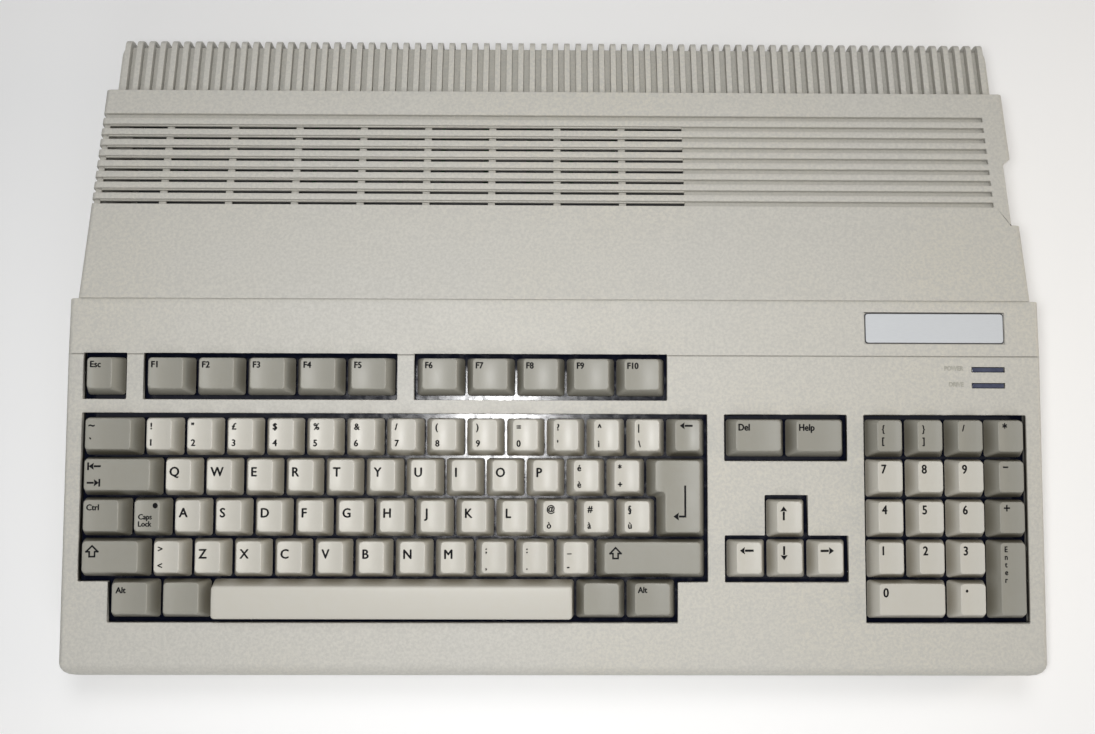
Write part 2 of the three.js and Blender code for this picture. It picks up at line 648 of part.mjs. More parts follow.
function lowerHousing() {
  const top = PARTING_HEIGHT - SEAM;
  const shell = loft([planRing(WALL, FOOT_HEIGHT), planRing(WALL / 4, FLOOR_TOP), planRing(0, top)], level);
  const inside = loft([planRing(WALL, FLOOR_TOP), planRing(WALL, top + OVERRUN)], level);
  const parts = [shell.subtract(inside)];
  const beside = HATCH_X + HATCH_LENGTH / 2 + POST_RADIUS * 3;
  const boardPostX = [BOARD_LEFT + FOOT_MARGIN / 2, beside, DRIVE_REAR_X - FOOT_MARGIN / 2];
  for (const x of boardPostX) {
    for (const y of [BOARD_FRONT + POST_RADIUS * 2, BOARD_REAR - POST_RADIUS * 4]) {
      parts.push(post(x, y, BOARD_BOTTOM - FIT, POST_RADIUS));
    }
  }
  parts.push(post(BOARD_RIGHT - POST_RADIUS * 2, BOARD_REAR - POST_RADIUS * 2, BOARD_BOTTOM - FIT, POST_RADIUS));
  for (const x of [DRIVE_REAR_X + FOOT_MARGIN / 2, DRIVE_FRONT_X - FOOT_MARGIN / 2]) {
    for (const y of [DRIVE_LOW_Y + POST_RADIUS * 2, DRIVE_HIGH_Y - POST_RADIUS * 2]) {
      parts.push(post(x, y, DRIVE_BOTTOM - FIT, POST_RADIUS));
    }
  }
  for (let i = 0; i < LEDGE_COUNT; i += 1) {
    const spread = HALF - FOOT_MARGIN;
    parts.push(keyboardLedge(spread * ((2 * i) / (LEDGE_COUNT - 1) - 1)));
  }
  for (const x of [FOOT_MARGIN - HALF, 0, HALF - FOOT_MARGIN]) {
    for (const y of [FRONT_Y + FOOT_MARGIN, PORT_FACE_Y - FOOT_MARGIN]) {
      parts.push(foot(x, y));
    }
  }
  const hatch = block(HATCH_X - HATCH_LENGTH / 2, HATCH_X + HATCH_LENGTH / 2,
    HATCH_Y - HATCH_WIDTH / 2, HATCH_Y + HATCH_WIDTH / 2, 0, FLOOR_TOP + OVERRUN);
  return joined(parts).subtract(hatch);
}

// Rounded-off rectangle with its corners cut, as one ring of a key
function keyRing(width, depth, y, z, corner) {
  const x = width / 2;
  const d = depth / 2;
  return [[x - corner, -d], [x, corner - d], [x, d - corner], [x - corner, d],
    [corner - x, d], [-x, d - corner], [-x, corner - d], [corner - x, -d]]
    .map(([px, py]) => new THREE.Vector3(px, y + py, z));
}

// The outside of a key of so many units, its foot at height zero, with its top's edge broken or plain
function keyBlank(unitsWide, unitsDeep, broken = true) {
  const width = unitsWide * KEY_PITCH - KEY_GAP;
  const depth = unitsDeep * KEY_PITCH - KEY_GAP;
  const topWidth = width - KEY_SIDE_SLOPE * 2;
  const topDepth = depth - KEY_REAR_SLOPE - KEY_FRONT_SLOPE;
  const shift = (KEY_FRONT_SLOPE - KEY_REAR_SLOPE) / 2;
  const rise = KEY_HEIGHT - KEY_EDGE;
  const share = rise / KEY_HEIGHT;
  const foot = keyRing(width, depth, 0, 0, KEY_CORNER);
  if (!broken) {
    return loft([foot, keyRing(topWidth, topDepth, shift, KEY_HEIGHT, KEY_TOP_CORNER)], level);
  }
  return loft([
    foot,
    keyRing(width + (topWidth - width) * share, depth + (topDepth - depth) * share, shift * share, rise,
      KEY_TOP_CORNER),
    keyRing(topWidth - KEY_EDGE, topDepth - KEY_EDGE, shift, KEY_HEIGHT, KEY_TOP_CORNER),
  ], level);
}

// The hollow of a key's top, a lying cylinder that is wider on wider keys
function dish(unitsWide, unitsDeep, steps = 5) {
  const half = (unitsWide * KEY_PITCH - KEY_GAP) / 2 - KEY_SIDE_SLOPE;
  const single = (KEY_PITCH - KEY_GAP) / 2 - KEY_SIDE_SLOPE;
  const radius = DISH_RADIUS * (half / single) ** 2;
  const length = unitsDeep * KEY_PITCH + OVERRUN;
  const reach = Math.asin(Math.min(1, (half * 1.15) / radius));
  const points = [];
  for (let k = 0; k <= steps; k += 1) {
    const turn = reach * ((2 * k) / steps - 1);
    points.push([radius * Math.sin(turn), KEY_HEIGHT - DISH_DEPTH + radius * (1 - Math.cos(turn))]);
  }
  points.push([points.at(-1)[0], KEY_HEIGHT + OVERRUN], [points[0][0], KEY_HEIGHT + OVERRUN]);
  return alongY(points, -length / 2, length / 2);
}

function keyHollow(unitsWide, unitsDeep) {
  const width = unitsWide * KEY_PITCH - KEY_GAP - KEY_WALL * 2;
  const depth = unitsDeep * KEY_PITCH - KEY_GAP - KEY_WALL * 2;
  const height = KEY_HEIGHT - DISH_DEPTH - KEY_WALL;
  const share = height / KEY_HEIGHT;
  const ring = (w, d, y, z) => [[-1, -1], [1, -1], [1, 1], [-1, 1]]
    .map(([a, b]) => new THREE.Vector3((a * w) / 2, y + (b * d) / 2, z));
  const shift = ((KEY_FRONT_SLOPE - KEY_REAR_SLOPE) / 2) * share;
  return loft([
    ring(width, depth, 0, -KEY_WALL / 4),
    ring(width - KEY_SIDE_SLOPE * 2 * share, depth - (KEY_REAR_SLOPE + KEY_FRONT_SLOPE) * share, shift, height),
  ], level);
}

// The tall return key: a deep key with a wider upper half that reaches to the left
function returnBlank() {
  const reach = (1.5 - 1.25) * KEY_PITCH;
  const upper = keyBlank(1.5, 1).translate([-reach / 2, KEY_PITCH / 2, 0]);
  return keyBlank(1.25, 2).add(upper);
}

function returnHollow() {
  const reach = (1.5 - 1.25) * KEY_PITCH;
  return keyHollow(1.25, 2).add(keyHollow(1.5, 1).translate([-reach / 2, KEY_PITCH / 2, 0]));
}

// Moving keys: node name, left edge and front edge in key units, width, depth and kind
const KEYS = [
  ['key_escape', 0, 5.5, 1, 1, 'dark'],
  ...[1, 2, 3, 4, 5].map((n) => [`key_f${n}`, 1.5 + (n - 1) * 1.25, 5.5, 1.25, 1, 'dark']),
  ...[6, 7, 8, 9, 10].map((n) => [`key_f${n}`, 8.25 + (n - 6) * 1.25, 5.5, 1.25, 1, 'dark']),
  ['key_grave', 0, 4, 1.5, 1, 'dark'],
  ['key_backspace', 14.5, 4, 1, 1, 'dark'],
  ['key_tab', 0, 3, 2, 1, 'dark'],
  ['key_return', 14.25, 2, 1.25, 2, 'return'],
  ['key_control', 0, 2, 1.25, 1, 'dark'],
  ['key_caps_lock', 1.25, 2, 1, 1, 'dark'],
  ['key_left_shift', 0, 1, 1.75, 1, 'dark'],
  ['key_right_shift', 12.75, 1, 2.75, 1, 'dark'],
  ['key_left_alt', 0.75, 0, 1.25, 1, 'dark'],
  ['key_left_command', 2, 0, 1.25, 1, 'dark'],
  ['key_space', 3.25, 0, 9, 1, 'space'],
  ['key_right_command', 12.25, 0, 1.25, 1, 'dark'],
  ['key_right_alt', 13.5, 0, 1.25, 1, 'dark'],
  ['key_delete', 16, 4, 1.5, 1, 'dark'],
  ['key_help', 17.5, 4, 1.5, 1, 'dark'],
  ['cursor_up', 17, 2, 1, 1, 'light'],
  ['cursor_left', 16, 1, 1, 1, 'light'],
  ['cursor_down', 17, 1, 1, 1, 'light'],
  ['cursor_right', 18, 1, 1, 1, 'light'],
  ['keypad_left_bracket', 19.5, 4, 1, 1, 'dark'],
  ['keypad_right_bracket', 20.5, 4, 1, 1, 'dark'],
  ['keypad_slash', 21.5, 4, 1, 1, 'dark'],
  ['keypad_star', 22.5, 4, 1, 1, 'dark'],
  ['keypad_minus', 22.5, 3, 1, 1, 'dark'],
  ['keypad_plus', 22.5, 2, 1, 1, 'dark'],
  ['keypad_enter', 22.5, 0, 1, 2, 'dark'],
  ['keypad_zero', 19.5, 0, 2, 1, 'light'],
].map(([name, left, front, wide, deep, kind]) => ({ name, left, front, wide, deep, kind }));

// Ordinary typing keys, as rows of equal keys: left edge, front edge and how many
const TYPING_ROWS = [
  [1.5, 4, 13], [2, 3, 12], [2.25, 2, 12], [1.75, 1, 11],
  [19.5, 3, 3], [19.5, 2, 3], [19.5, 1, 3], [21.5, 0, 1],
];

function keyMiddle({ left, front, wide, deep }) {
  return [(left + wide / 2) * KEY_PITCH, (front + deep / 2) * KEY_PITCH];
}

function movingKey({ wide, deep, kind }) {
  const half = STEM_WIDTH / 2;
  const stemBottom = -(KEY_GAP + TRAVEL_SPARE * 2);
  const stem = block(-half, half, -half, half, stemBottom, KEY_HEIGHT - DISH_DEPTH - KEY_WALL / 2);
  const blank = kind === 'return' ? returnBlank() : keyBlank(wide, deep);
  const hollow = kind === 'return' ? returnHollow() : keyHollow(wide, deep);
  const body = kind === 'space' ? blank : blank.subtract(dish(wide, deep));
  return body.subtract(hollow).add(stem);
}

// The frame: a plate with a guide for every moving key, and the typing keys in their places on it
function keyFrame() {
  const right = KEYS_WIDE_COUNT * KEY_PITCH + FRAME_MARGIN;
  const rear = KEYS_DEEP_COUNT * KEY_PITCH + FRAME_MARGIN;
  const parts = [block(-FRAME_MARGIN, right, -FRAME_MARGIN, rear, FRAME_BOTTOM, FRAME_TOP)];
  const cuts = [];
  const bore = STEM_WIDTH / 2 + FIT;
  const outer = bore + TURRET_WALL;
  for (const key of KEYS) {
    const [x, y] = keyMiddle(key);
    parts.push(block(x - outer, x + outer, y - outer, y + outer, FRAME_TOP - FRAME_THICKNESS / 2,
      FRAME_TOP + TURRET_HEIGHT));
    cuts.push(block(x - bore, x + bore, y - bore, y + bore, FRAME_BOTTOM - OVERRUN, OVERRUN));
  }
  const neck = STEM_WIDTH;
  const cap = keyBlank(1, 1, false).subtract(dish(1, 1, 3));
  for (const [left, front, count] of TYPING_ROWS) {
    for (let i = 0; i < count; i += 1) {
      const [x, y] = keyMiddle({ left: left + i, front, wide: 1, deep: 1 });
      parts.push(cap.translate([x, y, -SKIRT_DEPTH]));
      parts.push(block(x - neck, x + neck, y - neck, y + neck, FRAME_TOP - FRAME_THICKNESS / 2, 0));
    }
  }
  return joined(parts).subtract(joined(cuts));
}

function backplate() {
  const inset = FRAME_MARGIN / 2;
  const right = KEYS_WIDE_COUNT * KEY_PITCH + inset;
  const rear = KEYS_DEEP_COUNT * KEY_PITCH + inset;
  return block(-inset, right, -inset, rear, BACKPLATE_BOTTOM, BACKPLATE_TOP);
}

function lamp() {
  const x = LAMP_LENGTH / 2;
  const y = LAMP_WIDTH / 2;
  const flangeTop = -WALL - FIT;
  const bar = block(-x, x, -y, y, flangeTop - LAMP_FLANGE / 2, -LAMP_SUNK);
  const flange = block(-x - LAMP_FLANGE, x + LAMP_FLANGE, -y - LAMP_FLANGE, y + LAMP_FLANGE,
    flangeTop - LAMP_FLANGE, flangeTop);
  return bar.add(flange);
}

// Disk drive: a closed case with the disk's bay and the button's seat in its front
function diskDrive() {
  const b = buttonBox(FIT);
  const body = block(DRIVE_REAR_X, DRIVE_FRONT_X, DRIVE_LOW_Y, DRIVE_HIGH_Y, DRIVE_BOTTOM,
    DRIVE_BOTTOM + DRIVE_HEIGHT);
  const half = DISK_BAY_WIDTH / 2;
  const bay = block(DRIVE_FRONT_X - DISK_BAY_LENGTH, DRIVE_FRONT_X + OVERRUN, DRIVE_MIDDLE - half,
    DRIVE_MIDDLE + half, DISK_BAY_BOTTOM, DISK_BAY_BOTTOM + DISK_BAY_HEIGHT);
  const seatDepth = BUTTON_SEAT + BUTTON_TRAVEL + FIT;
  const seat = block(DRIVE_FRONT_X - seatDepth, DRIVE_FRONT_X + OVERRUN, b.y0, b.y1, b.z0, b.z1);
  return body.subtract(bay).subtract(seat);
}

// Door of the disk bay: a flap under a rounded hinge edge, drawn round its own hinge line
function diskDoor() {
  const radius = DOOR_THICKNESS / 2;
  const drop = DISK_BAY_HEIGHT - FIT * 2 - radius;
  const outline = [[-radius, -drop], [radius, -drop], [radius, 0]];
  const steps = 4;
  for (let k = 1; k < steps; k += 1) {
    const turn = (k / steps) * Math.PI;
    outline.push([radius * Math.cos(turn), radius * Math.sin(turn)]);
  }
  outline.push([-radius, 0]);
  const half = DISK_BAY_WIDTH / 2 - FIT;
  return alongY(outline, -half, half);
}

function ejectButton() {
  const b = buttonBox(0);
  const edge = BUTTON_HEIGHT / 6;
  const outline = (x0, x1) => block(x0, x1, b.y0, b.y1, b.z0, b.z1);
  const face = PLATEAU_HALF + BUTTON_STANDOUT;
  const shank = outline(DRIVE_FRONT_X - BUTTON_SEAT, face - edge);
  const tip = block(face - edge * 2, face, b.y0 + edge, b.y1 - edge, b.z0 + edge, b.z1 - edge);
  return shank.add(tip);
}

function expansionCover() {
  const half = COVER_LENGTH / 2;
  const outX = DRAFT_SHARE * (COVER_BOTTOM + COVER_HEIGHT - PARTING_HEIGHT) - PLATEAU_HALF;
  const plate = block(outX, outX + WALL, COVER_MIDDLE - half, COVER_MIDDLE + half, COVER_BOTTOM,
    COVER_BOTTOM + COVER_HEIGHT);
  const tongues = [];
  for (const side of [-1, 1]) {
    const y = COVER_MIDDLE + side * (half - TONGUE_WIDTH);
    for (const z of [COVER_BOTTOM, COVER_BOTTOM + COVER_HEIGHT - TONGUE_THICKNESS]) {
      tongues.push(block(outX + WALL / 2, outX + WALL + TONGUE_LENGTH, y - TONGUE_WIDTH / 2, y + TONGUE_WIDTH / 2,
        z, z + TONGUE_THICKNESS));
    }
  }
  return joined([plate, ...tongues]);
}

function memoryHatch() {
  const x = HATCH_LENGTH / 2 - FIT;
  const y = HATCH_WIDTH / 2 - FIT;
  const plate = block(-x, x, -y, y, FOOT_HEIGHT, FLOOR_TOP - FIT);
  const hooks = [];
  for (const side of [-1, 1]) {
    const hookX = side * x * 0.6;
    const stem = block(hookX - TONGUE_WIDTH / 2, hookX + TONGUE_WIDTH / 2, -y, -y + TONGUE_THICKNESS,
      FLOOR_TOP - WALL / 2, FLOOR_TOP + FIT + TONGUE_THICKNESS);
    const nose = block(hookX - TONGUE_WIDTH / 2, hookX + TONGUE_WIDTH / 2, -y - FIT - TONGUE_THICKNESS,
      -y + TONGUE_THICKNESS, FLOOR_TOP + FIT, FLOOR_TOP + FIT + TONGUE_THICKNESS);
    hooks.push(stem, nose);
  }
  const pull = block(-TONGUE_WIDTH, TONGUE_WIDTH, y - TONGUE_LENGTH, y - TONGUE_LENGTH / 2, 0,
    FOOT_HEIGHT + WALL / 2);
  return joined([plate, ...hooks]).subtract(pull);
}

// Main board: a plate that passes in front of and behind the drive, with its larger chips
function mainBoard() {
  const step = DRIVE_HIGH_Y + FIT * 6;
  const stepX = DRIVE_REAR_X - FIT * 10;
  const outline = [[BOARD_LEFT, BOARD_FRONT], [stepX, BOARD_FRONT], [stepX, step], [BOARD_RIGHT, step],
    [BOARD_RIGHT, BOARD_REAR], [BOARD_LEFT, BOARD_REAR]];
  const parts = [alongZ(outline, BOARD_BOTTOM, BOARD_TOP)];
  const chip = (x, y, length, width) =>
    parts.push(block(x, x + length, y, y + width, BOARD_TOP - BOARD_THICKNESS / 2, BOARD_TOP + CHIP_HEIGHT));
  const rowY = BOARD_FRONT + SHIELD_MARGIN * 3;
  for (let i = 0; i < 3; i += 1) {
    chip(BOARD_LEFT + SMALL_CHIP / 2 + i * (LONG_CHIP + SMALL_CHIP_WIDTH), rowY + SQUARE_CHIP * 1.4, LONG_CHIP,
      LONG_CHIP_WIDTH);
  }
  chip(stepX - SQUARE_CHIP * 1.6, rowY + SMALL_CHIP, SQUARE_CHIP, SQUARE_CHIP);
  for (let i = 0; i < 6; i += 1) {
    chip(BOARD_LEFT + SMALL_CHIP / 2 + i * SMALL_CHIP * 1.3, rowY, SMALL_CHIP, SMALL_CHIP_WIDTH);
  }
  return joined(parts);
}

// Sheet-metal lid over the board with rows of slits under the case's vents
function emiShield() {
  const left = BOARD_LEFT + SHIELD_MARGIN;
  const right = DRIVE_REAR_X - FIT * 10 - SHIELD_MARGIN;
  const front = BOARD_FRONT + SHIELD_MARGIN;
  const rear = PORT_INNER_Y - DSUB_BODY_DEPTH - BOARD_MARGIN - SHIELD_MARGIN;
  const base = BOARD_TOP + FIT;
  const top = base + SHIELD_HEIGHT;
  const t = SHIELD_THICKNESS;
  const tray = block(left, right, front, rear, base, top)
    .subtract(block(left + t, right - t, front + t, rear - t, base - OVERRUN, top - t));
  const slits = [];
  const count = Math.floor((right - left - SHIELD_SLIT_PITCH) / SHIELD_SLIT_PITCH);
  for (let i = 0; i < count; i += 1) {
    const x = left + SHIELD_SLIT_PITCH * (i + 1);
    slits.push(block(x, x + SHIELD_SLIT_WIDTH, (front + rear) / 2, rear - SHIELD_MARGIN * 3, top - OVERRUN,
      top + OVERRUN));
  }
  return tray.subtract(joined(slits));
}

// Outline of a D-shaped shell round its middle, wide side up
function dShell(width, height) {
  const x = width / 2;
  const z = height / 2;
  return [[DSUB_SLANT - x, -z], [x - DSUB_SLANT, -z], [x, z], [-x, z]];
}

// A D-shaped connector: flanged body behind the wall and its shell, open round the pins or filled
function dConnector(width, open) {
  const flange = (width + DSUB_FLANGE_SPARE) / 2;
  const face = PORT_INNER_Y - FIT;
  const z0 = -DSUB_FLANGE_HEIGHT / 2;
  const body = block(-flange, flange, face - DSUB_BODY_DEPTH, face, z0, z0 + DSUB_FLANGE_HEIGHT);
  const shellEnd = face + DSUB_SHELL_LENGTH;
  const shell = alongY(dShell(width, DSUB_SHELL_HEIGHT), face - WALL, shellEnd);
  const whole = body.add(shell);
  if (!open) {
    return whole;
  }
  const wall = DSUB_SHELL_WALL * 2;
  const hollow = alongY(dShell(width - wall, DSUB_SHELL_HEIGHT - wall), face, shellEnd + OVERRUN);
  return whole.subtract(hollow);
}

function jackSet(width) {
  const face = PORT_INNER_Y - FIT;
  const span = width - JACK_RADIUS * 2;
  const count = 1 + Math.round(span / JACK_PITCH);
  const half = (span + JACK_BODY_WIDTH) / 2;
  const low = -DSUB_FLANGE_HEIGHT / 2;
  const parts = [block(-half, half, face - DSUB_BODY_DEPTH, face, low, low + DSUB_FLANGE_HEIGHT)];
  const bores = [];
  for (let i = 0; i < count; i += 1) {
    const x = i * JACK_PITCH - span / 2;
    const barrel = new THREE.CylinderGeometry(JACK_RADIUS, JACK_RADIUS, JACK_LENGTH + WALL, 12);
    parts.push(toSolid(barrel.translate(x, face + (JACK_LENGTH - WALL) / 2, 0)));
    const bore = new THREE.CylinderGeometry(JACK_BORE, JACK_BORE, JACK_LENGTH, 8);
    bores.push(toSolid(bore.translate(x, face + JACK_LENGTH / 2 + WALL, 0)));
  }
  return joined(parts).subtract(joined(bores));
}

function powerSocket() {
  const face = PORT_INNER_Y - FIT;
  const half = POWER_WIDTH / 2;
  const low = -DSUB_FLANGE_HEIGHT / 2;
  const body = block(-half - WALL, half + WALL, face - DSUB_BODY_DEPTH, face, low, low + POWER_WIDTH + WALL * 1.5);
  const sill = low + WALL;
  const neck = block(-half, half, face - WALL, face + WALL + FIT, sill, sill + POWER_WIDTH);
  const inner = half - POWER_WALL;
  const recess = block(-inner, inner, face + WALL + FIT - POWER_DEPTH, face + WALL + OVERRUN, sill + POWER_WALL,
    sill + POWER_WIDTH - POWER_WALL);
  return body.add(neck).subtract(recess);
}

function portSolid(port) {
  if (port.kind === 'jacks') {
    return jackSet(port.width);
  }
  return port.kind === 'power' ? powerSocket() : dConnector(port.width, port.kind === 'plug');
}

// Scene: every piece as a named mesh with its own finish
const computer = new THREE.Group();
const keyboard = new THREE.Group();
keyboard.position.set(KEYS_LEFT, KEYS_FRONT, deckHeight(KEYS_FRONT));
keyboard.rotation.x = DECK_TILT;
computer.add(keyboard);

function addPiece(parent, name, manifold, color, roughness, metalness, place = [0, 0, 0]) {
  const material = new THREE.MeshStandardMaterial({ color, roughness, metalness });
  const mesh = new THREE.Mesh(toGeometry(manifold), material);
  mesh.name = name;
  mesh.position.set(...place);
  parent.add(mesh);
}

addPiece(computer, 'upper_housing', upperHousing(), COLOURS.case, 0.6, 0);
addPiece(computer, 'lower_housing', lowerHousing(), COLOURS.case, 0.65, 0);
addPiece(keyboard, 'key_frame', keyFrame(), COLOURS.lightKey, 0.5, 0);
addPiece(keyboard, 'keyboard_backplate', backplate(), COLOURS.steel, 0.4, 1);
for (const key of KEYS) {
  const [x, y] = keyMiddle(key);
  const color = key.kind === 'light' || key.kind === 'space' ? COLOURS.lightKey : COLOURS.darkKey;
  addPiece(keyboard, key.name, movingKey(key), color, 0.5, 0, [x, y, -SKIRT_DEPTH]);
}
lampPlaces().forEach(({ x, y }, i) => {
  addPiece(keyboard, ['power_lamp', 'drive_lamp'][i], lamp(), COLOURS.lamp, 0.25, 0, [x, y, 0]);
});
addPiece(computer, 'main_board', mainBoard(), COLOURS.board, 0.5, 0);
addPiece(computer, 'emi_shield', emiShield(), COLOURS.steel, 0.35, 1);
addPiece(computer, 'disk_drive', diskDrive(), COLOURS.drive, 0.45, 0.3);
const hingeHeight = DISK_BAY_BOTTOM + DISK_BAY_HEIGHT - FIT - DOOR_THICKNESS / 2;
addPiece(computer, 'disk_door', diskDoor(), COLOURS.case, 0.5, 0,
  [DRIVE_FRONT_X - DOOR_SETBACK, DRIVE_MIDDLE, hingeHeight]);
addPiece(computer, 'eject_button', ejectButton(), COLOURS.case, 0.5, 0);
addPiece(computer, 'expansion_cover', expansionCover(), COLOURS.case, 0.6, 0);
addPiece(computer, 'memory_trapdoor', memoryHatch(), COLOURS.case, 0.65, 0, [HATCH_X, HATCH_Y, 0]);
for (const port of PORTS) {
  const metal = port.kind === 'power' ? 0 : 1;
  const color = metal ? COLOURS.jack : COLOURS.black;
  addPiece(computer, port.name, portSolid(port), color, 0.35, metal, [portX(port), 0, PORT_MIDDLE]);
}

export default computer;
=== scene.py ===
import math

import bmesh
import bpy
from bpy.props import FloatProperty, FloatVectorProperty, PointerProperty
from bpy.types import Operator, Panel, PropertyGroup
from mathutils import Matrix, Vector
from mathutils.bvhtree import BVHTree
from mathutils.geometry import delaunay_2d_cdt


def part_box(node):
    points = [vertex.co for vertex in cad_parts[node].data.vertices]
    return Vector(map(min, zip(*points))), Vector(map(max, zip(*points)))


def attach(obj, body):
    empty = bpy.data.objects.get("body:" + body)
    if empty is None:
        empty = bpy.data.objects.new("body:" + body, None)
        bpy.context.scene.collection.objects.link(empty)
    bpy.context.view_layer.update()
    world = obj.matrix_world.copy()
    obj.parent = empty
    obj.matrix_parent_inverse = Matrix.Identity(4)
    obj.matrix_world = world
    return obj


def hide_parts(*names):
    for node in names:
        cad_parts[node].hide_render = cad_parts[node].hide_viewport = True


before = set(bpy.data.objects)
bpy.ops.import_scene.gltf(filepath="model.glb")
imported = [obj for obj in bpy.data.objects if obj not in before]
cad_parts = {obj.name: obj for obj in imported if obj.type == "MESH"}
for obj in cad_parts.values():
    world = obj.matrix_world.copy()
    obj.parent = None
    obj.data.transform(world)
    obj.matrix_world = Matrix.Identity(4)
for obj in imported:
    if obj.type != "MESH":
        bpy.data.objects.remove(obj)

bl_info = {
    "name": "Keyboard computer",
    "version": (1, 0, 0),
    "blender": (4, 5, 0),
    "location": "3D View > Sidebar > Computer",
    "description": "Builds the visible pieces of a keyboard computer round its packed model",
    "category": "Object",
}

MM = 0.001
ROOT = "base"

# Start of the finishes' names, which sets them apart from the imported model's own
FINISH = "visible_"

# Key grid on the tilted deck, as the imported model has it
PITCH = 19.05 * MM
UNITS_WIDE = 23.5
UNITS_DEEP = 6.5
DECK_TILT = math.radians(10.7)
KEYS_SETBACK = 25.5 * MM
LIP_HEIGHT = 26.5 * MM
KEY_GAP = 1.2 * MM
KEY_HEIGHT = 9.2 * MM
SKIRT_DEPTH = 3.2 * MM
STEM = 5 * MM

# How far a key's top is drawn in at its left, right, front and rear. Its sides lean a little more than in the
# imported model, as the photograph shows them.
KEY_SLOPES = 3.2 * MM, 3.2 * MM, 2.8 * MM, 0.5 * MM
SPACE_SLOPES = 1.2 * MM, 1.2 * MM, 0.5 * MM, 2.2 * MM

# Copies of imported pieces: points and faces that count as one, the edges that are rounded (degrees), and the
# rays that find the edges seen from outside
SAME_POINT = 0.002 * MM
SAME_PLANE = 0.4
SHARP = 40
RAY_COUNT = 40
RAY_CLEARANCE = 0.08 * MM

# Space bar: rounding against the other keys, fall of its top to the edges, and how far its crest is in front
SPACE_ROUNDING = 1.8
SPACE_CROWN = 0.5 * MM
SPACE_CREST = 0.8 * MM

# Keycap: radii of its outlines, wall, thickness of its top, how far its stem reaches below it, and the nets of
# faces on and under its top
FOOT_RADIUS = 1.5 * MM
CREST_RADIUS = 1.7 * MM
BROW_RADIUS = 1.2 * MM
KEY_WALL = 1.3 * MM
KEY_ROOF = 2.6 * MM
STEM_REACH = 2.4 * MM
TOP_NET = 1.5 * MM
ROOF_NET = 6 * MM

# Plate under the keys and the guides on it, with the bore that a stem runs in
PLATE_TOP = -7.6 * MM
PLATE_THICKNESS = 2 * MM
PLATE_MARGIN = 2.5 * MM
GUIDE_HEIGHT = 4.4 * MM
GUIDE_WALL = 2.2 * MM
GUIDE_ROOT = 0.5 * MM
GUIDE_EDGE = 0.4 * MM
BORE = STEM / 2 + 0.3 * MM

# Crease behind the keys: how far back it is, width and depth of its line, and where it ends on the sides
CREASE_SETBACK = 148.27 * MM
CREASE_LINE = 0.5 * MM
CREASE_DEPTH = 0.35 * MM
CREASE_FOOT = 17 * MM

# Strip behind the crease, and the name plate on it
STRIP_DEPTH = 26.2 * MM
STRIP_RISE = 4 * MM
STRIP_TILT = math.atan2(STRIP_RISE, STRIP_DEPTH)
NAME_LENGTH = 67.6 * MM
NAME_WIDTH = 15.4 * MM
NAME_SETBACK = 13.4 * MM
NAME_INSET = 17.5 * MM
NAME_SUNK = 0.48 * MM
NAME_EDGE = 0.12 * MM

# Words beside the lamps: letter height and the gap to the lamp
WORD_HEIGHT = 2.1 * MM
WORD_GAP = 2.8 * MM

# Flat top behind the strip, and how far the first and the last groove's edges are in front of its rear
PLATEAU_DEPTH = 112.1 * MM
PLATEAU_FALL = 4.4 * MM
REAR_END_DEPTH = 30.5 * MM
VENT_REAR = 13.2 * MM
VENT_FRONT = 63.3 * MM

# Slotted grooves in the flat top, and the ledge along the rear side of each
SLOTTED_GROOVES = 8
GROOVE_PITCH = 5.88 * MM
GROOVE_WIDTH = 2.5 * MM
FIRST_SLOTTED = 20.58 * MM
SLOTS_LEFT = 8.7 * MM
SLOTS_LENGTH = 288 * MM
LEDGE_WIDTH = 0.85 * MM
LEDGE_EDGE = 0.35 * MM
LEDGE_OVERLAP = 0.1 * MM
LEDGE_TOP = -0.8 * MM
LEDGE_BOTTOM = -2.3 * MM

# Edge rounding that other pieces get, as a share of the setting or as a radius
TRAY_SHARE = 0.8
LAMP_EDGE = 0.35 * MM
DRIVE_EDGE = 0.5 * MM
FLAP_EDGE = 0.2 * MM
SHELL_EDGE = 0.25 * MM
JACK_EDGE = 0.2 * MM
POWER_EDGE = 0.4 * MM
BOARD_EDGE = 0.2 * MM
SHEET_EDGE = 0.3 * MM

# Turned profiles in millimetres: radius and height, from the axis back to the axis
FOOT_PAD = (0, -0.02), (7, -0.02), (7.5, 0.3), (7.9, 1.5), (0, 1.5)
SCREW_HEAD = (0, 0.4), (2.6, 0.4), (2.9, -0.1), (2.2, -0.9), (0.9, -1.1), (0.9, -0.5), (0, -0.5)
CONTACT_PIN = (0, 0), (0.5, 0), (0.5, 4.6), (0.25, 5.2), (0, 5.3)
CONTACT_HOLE = (0, -0.6), (0.62, -0.6), (0.62, 0), (0.42, 0.02), (0.42, -0.4), (0, -0.4)
LOCK_NUT = (0, -1), (2.4, -1), (2.4, 1.9), (2.1, 2.2), (1.3, 2.2), (1.1, 0.4), (0, 0.4)
JACK_RING = (0, -1), (3.4, -1), (3.4, -0.1), (3.1, 0.05), (1.9, 0.05), (1.7, -0.6), (0, -0.7)
POWER_PIN = (0, 0), (0.75, 0), (0.75, 6), (0.4, 6.6), (0, 6.7)

# Feet and screws: how far they are from the case's edges, the tray's wall and the height of the screws' holes
FOOT_MARGIN = 26 * MM
TRAY_WALL = 3.3 * MM
SCREW_HEIGHT = 3 * MM

